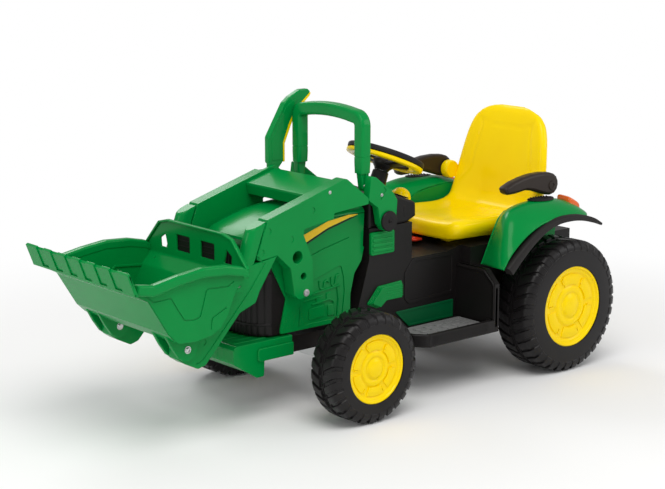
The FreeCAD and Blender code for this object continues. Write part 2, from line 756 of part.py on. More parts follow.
def hollow_tub(body):
    under = "tub_floor - cut_over"
    lid = f"{height('dash_front')} + cut_over"
    wall = "tub_wall"
    hollow = [(f"tub_rear_x + {wall}", under), (f"tub_rear_x + {wall}", f"seat_step_z - {wall}"),
              ("seat_step_x", f"seat_step_z - {wall}"), ("tunnel_rear_x", f"tunnel_rear_z - {wall}"),
              (f"dash_foot_x + {wall}", f"dash_foot_z - {wall}"), (f"dash_foot_x + {wall}", lid),
              (f"dash_front_x - {wall}", lid), (f"dash_front_x - {wall}", height("dash_shin")),
              (f"{across('dash_toe')} - {wall}", height("dash_toe")),
              (f"{across('dash_floor')} - {wall}", under)]
    pocket(body, "XZ_Plane", *mid_band("tub_half_width - tub_wall"), hollow)
    inner_wing = f"{seat_base_half} - tub_wall"
    pocket(body, "XY_Plane", "seat_base_low - cut_over", "seat_step_z - tub_wall",
           rectangle("tub_rear_x + tub_wall", f"-({inner_wing})", "seat_step_x - tub_wall", inner_wing))
    pocket(body, "XY_Plane", "tub_floor - cut_over", "nose_top - tub_wall",
           rectangle("dash_floor_x + dash_front_x", "-(nose_half_width - tub_wall)",
                     "nose_front - tub_wall", "nose_half_width - tub_wall"))
    for flip in ("", "-"):
        pocket(body, "XY_Plane", "board_low - cut_over", "board_top - tub_wall",
               rectangle("board_rear + tub_wall", f"{flip}(tub_half_width + cut_over)",
                         "board_inner_front - tub_wall", f"{flip}(board_half_width - tub_wall)"))
        axle = ("0", "rear_tyre_radius")
        low, high = sorted((f"{flip}(tub_half_width - cut_over)", f"{flip}(tub_half_width + cut_over)"),
                           key=value)
        pocket(body, "XZ_Plane", low, high, (axle, "rear_axle_radius + fixed_gap"))
    pocket(body, "XY_Plane", "tunnel_rear_z - cut_over", "tunnel_rear_z + cut_over",
           (("gear_x", "0"), "gear_rod_radius * 2"))


def make_undertray():
    half = "(tub_half_width - tub_wall - part_gap)"
    start = "tub_rear_x + tub_wall + part_gap"
    tray = block("undertray", (start, f"-{half}", "tub_floor"),
                 (f"tray_front - ({start})", f"2 * {half}", "tray_thick"))
    return piece("undertray", tray)


def make_hood():
    shell = new_body("hood_shell")
    side = ["hood_sole_rear", "hood_heel", "hood_waist", "hood_shoulder", "hood_top_rear",
            "hood_brow", "hood_nose", "hood_lip", "hood_cheek", "hood_chin"]
    pad(shell, "XZ_Plane", *mid_band("hood_half_width"), [spot(name) for name in side])
    brow = value(height("hood_nose")) - 1
    round_edges(shell, "hood_crown", lambda edge: is_top_side_edge(edge, brow))
    core = new_body("hood_core")
    low = f"{height('hood_sole_rear')} - cut_over"
    rear = f"{across('hood_top_rear')} - cut_over"
    front = f"{across('hood_nose')} + cut_over"
    fall = "cut_over * hood_nose_z / hood_nose_x"
    inside = [(rear, low), (rear, f"{height('hood_top_rear')} - hood_wall"),
              (across("hood_brow"), f"{height('hood_brow')} - hood_wall"),
              (front, f"{height('hood_nose')} + {fall} - hood_wall"), (front, low)]
    pad(core, "XZ_Plane", *mid_band("hood_half_width - hood_wall"), inside)
    below = value(f"{height('hood_nose')} + {fall} - hood_wall") - 1
    round_edges(core, "hood_crown - hood_wall", lambda edge: is_top_side_edge(edge, below))
    return piece("hood", carve("hood", shell, [core]))


def is_top_side_edge(edge, floor):
    first, last = edge.Vertexes[0].Point, edge.Vertexes[-1].Point
    return min(first.z, last.z) > floor and abs(first.y - last.y) < 0.01


def make_grille():
    body = new_body("grille")
    pad(body, "XY_Plane", "grille_low", "grille_top", grille_outline("0"))
    pocket(body, "XY_Plane", "grille_low - cut_over", "grille_top - grille_wall",
           grille_outline("grille_wall"))
    return piece("grille", body)


def grille_outline(inset):
    half = [("grille_rear" if inset == "0" else "grille_rear - cut_over", f"grille_half_width - {inset}"),
            (f"grille_side_front - {inset}", f"grille_half_width - {inset}"),
            (f"grille_mid_front - {inset}", f"grille_mid_half - {inset} / 2"),
            (f"grille_front - {inset}", "grille_mid_half / 3")]
    return half + [(a, f"-({b})") for a, b in reversed(half)]


def make_bumper():
    body = new_body("bumper")
    side = ["bumper_front_top", "bumper_front_low", "bumper_tooth", "bumper_tooth_rear",
            "bumper_rear_low", "bumper_tail_low", "bumper_tail_top"]
    pad(body, "XZ_Plane", *mid_band("bumper_half_width"), [spot(name) for name in side])
    wall = "bumper_wall"
    front = f"bumper_front_top_x - {wall}"
    low = f"{height('bumper_tooth')} - cut_over"
    rear = f"{across('bumper_tail_top')} - cut_over"
    pocket(body, "XZ_Plane", *mid_band(f"bumper_half_width - {wall}"),
           rectangle(rear, low, front, f"bumper_front_top_z - {wall}"))
    for flip in ("", "-"):
        band = sorted((f"{flip}(bumper_half_width - {wall})",
                       f"{flip}(bumper_half_width + bumper_bar_proud)"), key=value)
        pad(body, "XZ_Plane", *band,
            rectangle("bumper_bar_rear", "bumper_bar_low", "bumper_bar_rear + bumper_bar_length",
                      "bumper_bar_low + bumper_bar_height"))
    return piece("bumper", body)


def make_console():
    body = new_body("console_shell")
    side = ["console_rear_low", "console_rear_top", "console_brow", "console_front_top",
            "console_front_low", "console_foot"]
    pad(body, "XZ_Plane", *mid_band("tub_half_width"), [spot(name) for name in side])
    wall = "console_wall"
    inside = [(f"{across('console_foot')} + {wall}", f"{height('console_foot')} - cut_over"),
              (f"{across('console_foot')} + {wall}", f"{height('console_foot')} + {wall}"),
              (f"{across('console_rear_low')} + 2 * {wall}", f"{height('console_rear_low')} + {wall}"),
              (f"{across('console_rear_top')} + {wall}", f"{height('console_rear_top')} - {wall}"),
              (across("console_brow"), f"{height('console_brow')} - {wall}"),
              (f"{across('console_front_top')} - {wall}", f"{height('console_front_top')} - {wall}"),
              (f"{across('console_front_low')} - {wall}", f"{height('console_front_low')} - cut_over")]
    pocket(body, "XZ_Plane", *mid_band(f"tub_half_width - {wall}"), inside)
    sleeve = tilted_rod("column_sleeve", "sleeve_start + sleeve_length", "sleeve_radius", "sleeve_length")
    bore = tilted_rod("column_bore", column_length, "column_radius + running_gap",
                      f"{column_length} - hub_height")
    whole = join("console_whole", [body, sleeve])
    pin = rod("console_pin_bore", (across("loader_pivot"), "-(tub_half_width + cut_over)",
                                   height("loader_pivot")),
              "pivot_pin_radius + fixed_gap", "2 * (tub_half_width + cut_over)")
    return piece("dash_console", carve("dash_console", whole, [bore, pin]))


def tilted_rod(name, reach, radius, length):
    # The rod's lower end lies this far down the steering axis from the middle of the wheel.
    down = (f"wheel_hub_x + ({reach}) * sin(steering_tilt)", "0",
            f"wheel_hub_z - ({reach}) * cos(steering_tilt)")
    tilted = rod(name, down, radius, length, (0, 0, 1))
    tilt(tilted)
    return tilted


def tilt(thing):
    thing.Placement = FreeCAD.Placement(thing.Placement.Base,
                                        FreeCAD.Rotation(FreeCAD.Vector(0, 1, 0), -1))
    bind(thing, "Placement.Rotation.Angle", "-steering_tilt")


def make_side_panels():
    panel = block("side_panel", ("panel_rear", "tub_half_width", "panel_low"),
                  ("panel_front - panel_rear", "panel_proud", "panel_top - panel_low"))
    return piece("side_panels", both_sides("side_panels", [panel]))


def make_side_trims():
    step = new_body("step_trim")
    shape = ["step_rear_low", "step_rear_top", "step_knee", "step_front", "step_front_low", "step_belly"]
    pad(step, "XZ_Plane", "tub_half_width", "tub_half_width + step_proud", [spot(n) for n in shape])
    strip = new_body("strip_trim")
    shape = ["strip_rear_low", "strip_rear_top", "strip_front_top", "strip_front_low"]
    pad(strip, "XZ_Plane", "tub_half_width", "tub_half_width + strip_proud", [spot(n) for n in shape])
    return piece("side_trims", both_sides("side_trims", [step, strip]))


def make_foot_mats():
    mat = new_body("foot_mat")
    pad(mat, "XY_Plane", "board_top", "board_top + mat_thick",
        [("mat_rear", "mat_inner"), ("mat_rear", "mat_outer"), ("mat_front - mat_inset", "mat_outer"),
         ("mat_front", "mat_outer - mat_inset"), ("mat_front", "board_inner_reach"),
         ("board_inner_front", "mat_inner")])
    return piece("foot_mats", both_sides("foot_mats", [mat]))


def section(name, level, spots):
    sketch = doc.addObject("Sketcher::SketchObject", name)
    sketch.Placement = FreeCAD.Placement(FreeCAD.Vector(), FreeCAD.Rotation(FreeCAD.Vector(1, 0, 0), 90))
    bind(sketch, "Placement.Base.x", frame_shift)
    bind(sketch, "Placement.Base.y", level)
    draw_polygon(sketch, spots)
    return sketch


def fender_strip(row):
    top = [f"fender_{row}_{end}" for end in ("foot", "shoulder", "top", "tail")]
    inset = "fender_wall"
    under = [spot(top[3], "0", f"-{inset}"), spot(top[2], "0", f"-{inset}"),
             spot(top[1], f"-{inset}", f"-{inset}"), spot(top[0], f"-1.4 * {inset}", "0")]
    return [spot(name) for name in top] + under


def make_fenders():
    levels = {"in": fender_inner, "mid": fender_crest, "out": fender_outer}
    arch = doc.addObject("Part::Loft", "fender_arch")
    arch.Sections = [section(f"fender_{row}", level, fender_strip(row)) for row, level in levels.items()]
    arch.Solid = True
    arch.Ruled = True
    cheek = new_body("fender_cheek")
    edge = [spot(f"fender_in_{end}") for end in ("foot", "shoulder", "top", "tail")]
    edge += [("tub_rear_x / 2", "leg_wall_top"), ]
    pad(cheek, "XZ_Plane", f"{fender_inner} - fender_wall", fender_inner, edge)
    left = join("fender_left", [arch, cheek])
    piece("fender_left", left)
    piece("fender_right", mirrored(left))


def make_fender_trims():
    trim = new_body("fender_trim")
    wall = "trim_wall"
    top = [spot(f"trim_{end}") for end in ("foot", "knee", "top", "mid", "tip")]
    under = [spot("trim_tip", "0", f"-{wall} / 3"), spot("trim_mid", "0", f"-{wall}"),
             spot("trim_top", "0", f"-{wall}"), spot("trim_knee", f"-{wall} / 2", f"-{wall}"),
             spot("trim_foot", f"-{wall}", "0")]
    pad(trim, "XZ_Plane", fender_outer, f"{fender_outer} + trim_reach", top + under)
    return piece("fender_trims", both_sides("fender_trims", [trim]))


def make_lamps_and_inserts():
    lamp = new_body("tail_lamp")
    shape = [spot(f"lamp_{end}") for end in ("rear_low", "rear_top", "front_top", "front_low")]
    start = f"{fender_inner} + lamp_inset"
    pad(lamp, "XZ_Plane", start, f"{start} + lamp_width", shape)
    piece("tail_lights", both_sides("tail_lights", [lamp]))
    insert = new_body("fender_insert")
    low = [spot(f"insert_{end}") for end in ("rear", "mid", "front")]
    high = [spot(f"insert_{end}", "0", "insert_height") for end in ("front", "mid", "rear")]
    start = f"{fender_inner} + insert_inset"
    pad(insert, "XZ_Plane", start, f"{start} + insert_width", low + high)
    piece("fender_inserts", both_sides("fender_inserts", [insert]))


def make_drive():
    start = "tub_half_width + fixed_gap"
    width = f"({rear_inner} - gearbox_gap - {start})"
    case = block("gearbox_case", ("gearbox_rear", start, "gearbox_low"),
                 ("gearbox_length", width, "gearbox_height"))
    bore = rod("gearbox_bore", ("0", f"{start} - cut_over", "rear_tyre_radius"),
               "rear_axle_radius + fixed_gap", f"{width} + 2 * cut_over")
    piece("gearboxes", both_sides("gearboxes", [carve("gearbox", case, [bore])]))
    inner = "tub_half_width - tub_wall - part_gap - motor_length"
    motor = rod("motor", ("motor_x", inner, "motor_z"), "motor_radius", "motor_length")
    piece("motors", both_sides("motors", [motor]))
    battery = block("battery", ("battery_rear", "-battery_width / 2", "tub_floor + tray_thick"),
                    ("battery_length", "battery_width", "battery_height"))
    piece("battery", battery)
    half = "(track_half - rim_face_inset - rim_wall - axle_end_gap)"
    axle = rod("rear_axle", ("0", f"-{half}", "rear_tyre_radius"), "rear_axle_radius", f"2 * {half}")
    piece("rear_axle", axle)


def make_hitch():
    plate = block("hitch_plate", ("tub_rear_x - hitch_length", "-hitch_half_width", "hitch_low"),
                  ("hitch_length", "2 * hitch_half_width", "hitch_thick"))
    bore = rod("hitch_bore", ("tub_rear_x - hitch_bore_back", "0", "hitch_low - cut_over"),
               "hitch_bore_radius", "hitch_thick + 2 * cut_over", (0, 0, 1))
    return piece("tow_hitch", carve("tow_hitch", plate, [bore]))


def make_front_axle():
    ear_low = "(front_tyre_radius - knuckle_height / 2 - part_gap - fork_ear)"
    ear_high = "(front_tyre_radius + knuckle_height / 2 + part_gap + fork_ear)"
    web = f"({kingpin_side} - knuckle_radius - 3 * part_gap)"
    end = f"({kingpin_side} + knuckle_radius + 2 * part_gap)"
    body = new_body("front_axle_beam")
    span = ("wheel_base - fork_depth / 2", "wheel_base + fork_depth / 2")
    inner = f"({web} - fork_ear)"
    pad(body, "YZ_Plane", *span, rectangle(f"-{web}", "tub_floor - beam_height", web, "tub_floor"))
    for flip in ("", "-"):
        fork = [(inner, ear_low), (end, ear_low), (end, f"{ear_low} + fork_ear"),
                (web, f"{ear_low} + fork_ear"), (web, f"{ear_high} - fork_ear"),
                (end, f"{ear_high} - fork_ear"), (end, ear_high), (inner, ear_high)]
        pad(body, "YZ_Plane", *span, [(f"{flip}{a}", b) for a, b in fork])
        pocket(body, "XY_Plane", f"{ear_low} - cut_over", f"{ear_high} + cut_over",
               (("wheel_base", f"{flip}{kingpin_side}"), "kingpin_radius + running_gap"))
    piece("front_axle_beam", body)
    pin = rod("kingpin_shank", ("wheel_base", kingpin_side, ear_low), "kingpin_radius",
              f"{ear_high} - {ear_low}", (0, 0, 1))
    head = rod("kingpin_head", ("wheel_base", kingpin_side, ear_high), "kingpin_radius * 1.6",
               "screw_head", (0, 0, 1))
    piece("kingpins", both_sides("kingpins", [join("kingpin", [pin, head])]))
    make_knuckles()


def make_knuckles():
    half = "knuckle_height / 2"
    post = rod("knuckle_post", ("wheel_base", kingpin_side, f"front_tyre_radius - {half}"),
               "knuckle_radius", "knuckle_height", (0, 0, 1))
    stub_start = f"{kingpin_side} + kingpin_radius + part_gap"
    stub = rod("knuckle_stub", ("wheel_base", stub_start, "front_tyre_radius"), "stub_axle_radius",
               f"track_half - rim_face_inset - rim_wall - axle_end_gap - ({stub_start})")
    arm_low = "front_tyre_radius - steer_arm_drop - steer_arm_thick / 2"
    arm = block("knuckle_arm", ("wheel_base - steer_arm - steer_arm_width / 2",
                                f"{kingpin_side} - steer_arm_width / 2", arm_low),
                ("steer_arm", "steer_arm_width", "steer_arm_thick"))
    pin = rod("knuckle_pin", ("wheel_base - steer_arm", kingpin_side,
                              f"{arm_low} - tie_bar_gap - tie_bar_thick - tie_bar_gap"),
              "tie_pin_radius", "tie_bar_thick + 2 * tie_bar_gap + steer_arm_thick / 2", (0, 0, 1))
    bore = rod("knuckle_bore", ("wheel_base", kingpin_side, f"front_tyre_radius - {half} - cut_over"),
               "kingpin_radius + running_gap", "knuckle_height + 2 * cut_over", (0, 0, 1))
    left = carve("knuckle_left", join("knuckle_whole", [post, stub, arm, pin]), [bore])
    piece("knuckle_left", left)
    piece("knuckle_right", mirrored(left))


def make_tie_rod():
    line = "wheel_base - steer_arm"
    top = tie_top
    low = f"{top} - tie_bar_thick"
    reach = f"({kingpin_side} + tie_bar_width / 2)"
    half = "tie_bar_width / 2"
    body = new_body("tie_rod")
    pad(body, "XY_Plane", low, top, rectangle(f"{line} - {half}", f"-{reach}", f"{line} + {half}", reach))
    tongue = "tie_tongue_width / 2"
    slot_rear = f"({crank_eye} - crank_slot_back)"
    rear = f"({slot_rear} - tie_bar_width / 3)"
    pad(body, "XY_Plane", low, top, rectangle(rear, f"-{tongue}", line, tongue))
    for flip in ("", "-"):
        pocket(body, "XY_Plane", f"{low} - cut_over", f"{top} + cut_over",
               ((line, f"{flip}{kingpin_side}"), "tie_eye_radius"))
    slot = "crank_slot_width / 2"
    pocket(body, "XY_Plane", f"{low} - cut_over", f"{top} + cut_over",
           rectangle(slot_rear, f"-{slot}", f"{slot_rear} + crank_slot_length", slot))
    return piece("tie_rod", body)


def make_steering():
    column = tilted_rod("column_rod", column_length, "column_radius",
                        f"{column_length} - hub_height / 2")
    arm = new_body("column_arm", f"wheel_hub_x + {column_length} * sin(steering_tilt)", "0",
                   f"wheel_hub_z - {column_length} * cos(steering_tilt)")
    tilt(arm)
    boss = "crank_boss_radius"
    eye = ("-crank_radius", "0")
    pad(arm, "XY_Plane", "0", "crank_thick", rectangle("-crank_radius", f"-{boss}", "0", boss))
    pad(arm, "XY_Plane", "0", "crank_thick", (("0", "0"), f"{boss} + part_gap"))
    pad(arm, "XY_Plane", "0", "crank_thick", (eye, boss))
    pad(arm, "XY_Plane", "-crank_pin_length", "0", (eye, "tie_pin_radius"))
    piece("steering_column", join("steering_column", [column, arm]))
    outer = "wheel_grip_radius"
    inner = "(wheel_grip_radius - wheel_rim_width)"
    slope = "grip_height / 3"
    grip = tilted_body("steering_grip")
    revolve(grip, "XZ_Plane", "V_Axis",
            [(inner, "0"), (outer, "0"), (outer, f"grip_height - {slope}"),
             (f"{outer} - {slope}", "grip_height"), (f"{inner} + {slope}", "grip_height"),
             (inner, f"grip_height - {slope}")])
    piece("steering_grip", grip)
    ring = tilted_body("steering_ring")
    revolve(ring, "XZ_Plane", "V_Axis",
            [(f"{inner} + part_gap", "-ring_height"), (f"{outer} - {slope}", "-ring_height"),
             (f"{outer} - part_gap", f"{slope} - ring_height"), (f"{outer} - part_gap", "0"),
             (f"{inner} + part_gap", "0")])
    piece("steering_ring", ring)
    hub = tilted_body("steering_spokes")
    pad(hub, "XY_Plane", "-hub_height / 2", "hub_height / 2", (("0", "0"), "hub_radius"))
    reach = f"({inner} + 3 * part_gap)"
    half = "spoke_width / 2"
    low = "-spoke_thick"
    pad(hub, "XY_Plane", low, "0", rectangle(f"-{reach}", f"-{half}", "0", half))
    for flip in ("", "-"):
        tip = (f"{reach} * cos(60)", f"{flip}{reach} * sin(60)")
        lean = (f"{half} * sin(60)", f"{flip}{half} * cos(60)")
        pad(hub, "XY_Plane", low, "0",
            [(f"-{lean[0]}", f"{lean[1]}"), (f"{lean[0]}", f"-({lean[1]})"),
             (f"{tip[0]} + {lean[0]}", f"{tip[1]} - ({lean[1]})"),
             (f"{tip[0]} - {lean[0]}", f"{tip[1]} + {lean[1]}")])
    piece("steering_wheel", carve("steering_wheel", hub, [ring]))


def tilted_body(name):
    body = new_body(name, "wheel_hub_x", "0", "wheel_hub_z")
    tilt(body)
    return body


def make_wheels():
    for end, reach, axle in (("rear", "0", "rear_axle_radius"), ("front", "wheel_base", "stub_axle_radius")):
        radius = f"{end}_tyre_radius"
        width = f"{end}_tyre_width"
        rim_radius = f"{end}_rim_radius"
        inner = f"track_half - {width}"
        face = "track_half - rim_face_inset"
        rim = new_body(f"rim_{end}_left", reach, "0", radius)
        revolve(rim, "XY_Plane", "V_Axis", rim_outline(axle, rim_radius, inner, face))
        tyre = new_body(f"tyre_{end}_left", reach, "0", radius)
        revolve(tyre, "XY_Plane", "V_Axis", tyre_outline(radius, rim_radius, inner))
        for kind, body in (("rim", rim), ("tyre", tyre)):
            piece(f"{kind}_{end}_left", body)
            piece(f"{kind}_{end}_right", mirrored(body))


def rim_outline(axle, rim_radius, inner, face):
    bore = f"{axle} + running_gap"
    rim_in = f"{rim_radius} - rim_wall"
    back = f"{face} - rim_wall"
    cap = f"{face} + rim_hub_proud"
    return [(bore, inner), ("rim_hub_radius", inner), ("rim_hub_radius", back), (rim_in, back),
            (rim_in, inner), (rim_radius, inner), (rim_radius, "track_half"), (rim_in, "track_half"),
            (rim_in, face), ("rim_hub_radius + rim_wall", face), ("rim_hub_radius", cap), ("0", cap),
            ("0", back), (bore, back)]


def tyre_outline(radius, rim_radius, inner):
    outer = "track_half"
    middle = f"(({inner} + track_half) / 2)"
    shoulder = f"{radius} - tyre_shoulder"
    floor = f"{radius} - tread_groove_depth"
    groove = "tread_groove_width / 2"
    core = f"{floor} - tyre_wall"
    bend = f"{shoulder} - tyre_wall / 2"
    return [(rim_radius, inner), (shoulder, inner), (radius, f"{inner} + tyre_shoulder"),
            (radius, f"{middle} - {groove}"), (floor, f"{middle} - {groove}"),
            (floor, f"{middle} + {groove}"), (radius, f"{middle} + {groove}"),
            (radius, f"{outer} - tyre_shoulder"), (shoulder, outer), (rim_radius, outer),
            (rim_radius, f"{outer} - tyre_wall"), (bend, f"{outer} - tyre_wall"),
            (core, f"{outer} - tyre_shoulder - tyre_wall / 2"), (core, f"{inner} + tyre_shoulder + tyre_wall / 2"),
            (bend, f"{inner} + tyre_wall"), (rim_radius, f"{inner} + tyre_wall")]


def make_seat():
    for_rail = rectangle("rail_rear", "rail_half_gap", "rail_rear + rail_length", "rail_half_gap + rail_width")
    rail = new_body("seat_rail")
    pad(rail, "XY_Plane", "seat_step_z", "seat_step_z + rail_height", for_rail)
    piece("seat_rails", both_sides("seat_rails", [rail]))
    seat = new_body("seat")
    side = ["seat_front_low", "seat_front_top", "seat_dish", "seat_back_top", "seat_rear_top",
            "seat_rear_mid", "seat_rear_low"]
    pad(seat, "XZ_Plane", *mid_band("seat_half_width"), [spot(name) for name in side])
    head = value(height("seat_back_top")) - 10
    round_edges(seat, "seat_back_corner",
                lambda edge: runs_across(edge) and min(v.Point.z for v in edge.Vertexes) > head)
    hollow_seat(seat)
    add_runners(seat)
    for flip in ("", "-"):
        band = sorted((f"{flip}(seat_half_width - seat_boss_radius)", f"{flip}seat_boss_reach"), key=value)
        pad(seat, "XZ_Plane", *band, (spot("armrest_pivot"), "seat_boss_radius"))
        band = sorted((f"{flip}(seat_half_width - seat_boss_radius / 2)", f"{flip}(seat_boss_reach + cut_over)"),
                      key=value)
        pocket(seat, "XZ_Plane", *band, (spot("armrest_pivot"), "armrest_pin_radius + running_gap"))
    piece("seat", seat)


def runs_across(edge):
    first, last = edge.Vertexes[0].Point, edge.Vertexes[-1].Point
    return abs(first.y - last.y) < 0.01 and (last - first).Length > 1


def hollow_seat(seat):
    wall = "seat_wall"
    low = f"{height('seat_front_low')} - cut_over"
    rise = "seat_hollow_rise"
    front = f"(seat_back_top_x - seat_dish_x) * {rise} / (seat_back_top_z - seat_dish_z)"
    rear = f"(seat_rear_top_x - seat_rear_mid_x) * {rise} / (seat_rear_top_z - seat_rear_mid_z)"
    inside = [(f"{across('seat_rear_low')} + {wall}", low), (f"{across('seat_front_low')} - {wall}", low),
              (f"{across('seat_front_top')} - {wall}", f"{height('seat_front_top')} - {wall}"),
              (f"{across('seat_dish')} - 0.8 * {wall}", f"{height('seat_dish')} - {wall}"),
              (f"{across('seat_dish')} + {front} - 1.1 * {wall}", f"{height('seat_dish')} + {rise}"),
              (f"{across('seat_rear_mid')} + {rear} + 1.1 * {wall}", f"{height('seat_rear_mid')} + {rise}"),
              (f"{across('seat_rear_mid')} + 1.1 * {wall}", height("seat_rear_mid"))]
    pocket(seat, "XZ_Plane", *mid_band(f"seat_half_width - {wall}"), inside)


def add_runners(seat):
    low = "seat_step_z + part_gap"
    front = f"({across('seat_front_top')} - runner_front_gap)"
    side = [(across("seat_dish"), low), (front, low),
            (front, f"{height('seat_front_top')} - seat_wall"),
            (across("seat_dish"), f"{height('seat_dish')} - seat_wall / 2")]
    for flip in ("", "-"):
        near = f"{flip}(rail_half_gap - fixed_gap)"
        far = f"{flip}(rail_half_gap + rail_width + fixed_gap)"
        out_near = f"{flip}(rail_half_gap - runner_wall)"
        out_far = f"{flip}(rail_half_gap + rail_width + runner_wall)"
        pad(seat, "XZ_Plane", *sorted((out_near, out_far), key=value), side)
        pocket(seat, "YZ_Plane", f"{across('seat_dish')} - 1", f"{front} + 1",
               rectangle(near, f"{low} - cut_over", far, "seat_step_z + rail_height + fixed_gap"))


def make_seat_fittings():
    latch = block("seat_latch", ("latch_front - latch_length", "latch_side - latch_width / 2", "latch_low"),
                  ("latch_length", "latch_width", "latch_thick"))
    piece("seat_latch", latch)
    arm = new_body("armrest_left")
    side = ["armrest_top_rear", "armrest_top_mid", "armrest_tip_top", "armrest_tip_low", "armrest_low_front"]
    heel = [spot("armrest_pivot", "0", "-armrest_rear_radius * 0.9"), spot("armrest_pivot", "0", "armrest_rear_radius * 0.9")]
    pad(arm, "XZ_Plane", "armrest_inner", "armrest_inner + armrest_width",
        [spot(name) for name in side] + heel)
    pad(arm, "XZ_Plane", "armrest_inner", "armrest_inner + armrest_width",
        (spot("armrest_pivot"), "armrest_rear_radius"))
    pad(arm, "XZ_Plane", "seat_half_width + fixed_gap", "armrest_inner",
        (spot("armrest_pivot"), "armrest_pin_radius"))
    pad(arm, "XZ_Plane", "armrest_inner + armrest_width", "armrest_inner + armrest_width + screw_head",
        (spot("armrest_pivot"), "armrest_screw_radius"))
    piece("armrest_left", arm)
    piece("armrest_right", mirrored(arm))


def make_pedal():
    low = "pedal_side"
    high = "(pedal_side + pedal_width)"
    pedal = new_body("pedal", "pedal_hinge_x", "0", "pedal_hinge_z")
    pedal.Placement.Rotation = FreeCAD.Rotation(FreeCAD.Vector(0, 1, 0), -1)
    bind(pedal, "Placement.Rotation.Angle", "-pedal_angle")
    pad(pedal, "XZ_Plane", low, high, (("0", "0"), "pedal_barrel_radius"))
    half = "pedal_thick / 2"
    pad(pedal, "XZ_Plane", low, high, rectangle("0", f"-{half}", "pedal_length", half))
    pocket(pedal, "XZ_Plane", f"{low} - cut_over", f"{high} + cut_over",
           (("0", "0"), "pedal_pin_radius + running_gap"))
    piece("pedal", pedal)
    foot = "board_top + mat_thick"
    ears = []
    for name, start in (("pedal_ear_right", f"{low} - part_gap - pedal_ear"), ("pedal_ear_left", f"{high} + part_gap")):
        ears.append(block(name, ("pedal_hinge_x - pedal_barrel_radius", start, foot),
                          ("2 * pedal_barrel_radius", "pedal_ear", f"pedal_hinge_z + pedal_barrel_radius - ({foot})")))
    pin = rod("pedal_pin", ("pedal_hinge_x", f"{low} - part_gap - pedal_ear / 2", "pedal_hinge_z"),
              "pedal_pin_radius", "pedal_width + 2 * part_gap + pedal_ear")
    piece("pedal_bracket", join("pedal_bracket", ears + [pin]))


def make_gear_lever():
    lift = "tunnel_rear_z + gear_boot_lift"
    stem = rod("gear_stem", ("gear_x", "0", "tunnel_rear_z - 3 * tub_wall"), "gear_rod_radius",
               "gear_ball_height - tunnel_rear_z + 3 * tub_wall", (0, 0, 1))
    boot = rod("gear_boot", ("gear_x", "0", lift), "gear_boot_radius", "gear_boot_height", (0, 0, 1))
    knob = doc.addObject("Part::Sphere", "gear_knob")
    bind(knob, "Radius", "gear_ball_radius")
    bind(knob, "Placement.Base.x", f"{frame_shift} + gear_x")
    bind(knob, "Placement.Base.z", "gear_ball_height")
    barrel = rod("gear_barrel", ("gear_x", "-gear_rod_radius", "tunnel_rear_z"),
                 "gear_rod_radius * 1.5", "2 * gear_rod_radius")
    piece("gear_lever", join("gear_lever", [stem, boot, knob, barrel]))


def inset_core(name, spots, low, depth):
    # The outline moved inwards by the arm's wall, then drawn out along Y.
    outline = section(f"{name}_line", low, spots)
    inner = doc.addObject("Part::Offset2D", f"{name}_inner")
    inner.Source = outline
    bind(inner, "Value", "-arm_wall")
    core = doc.addObject("Part::Extrusion", f"{name}_core")
    core.Base = inner
    core.DirMode = "Custom"
    core.Dir = FreeCAD.Vector(0, 1, 0)
    core.Solid = True
    bind(core, "LengthFwd", depth)
    return core


boom_front = ["boom_nose", "boom_chin", "arm_crook"]
boom_leg = ["leg_front", "leg_toe", "leg_sole", "leg_heel", "leg_back", "leg_hock", "boom_knee",
            "belly_front", "belly_rear", "boom_rear", "boom_tail", "boom_hump"]
fore_rear = ["fore_elbow", "fore_notch", "fore_under", "fore_calf", "fore_heel", "fore_toe"]
fore_face = ["fore_tip", "fore_point", "fore_brow", "fore_front", "fore_shelf", "fore_shin",
             "fore_chest", "fore_neck", "fore_collar", "fore_cap"]


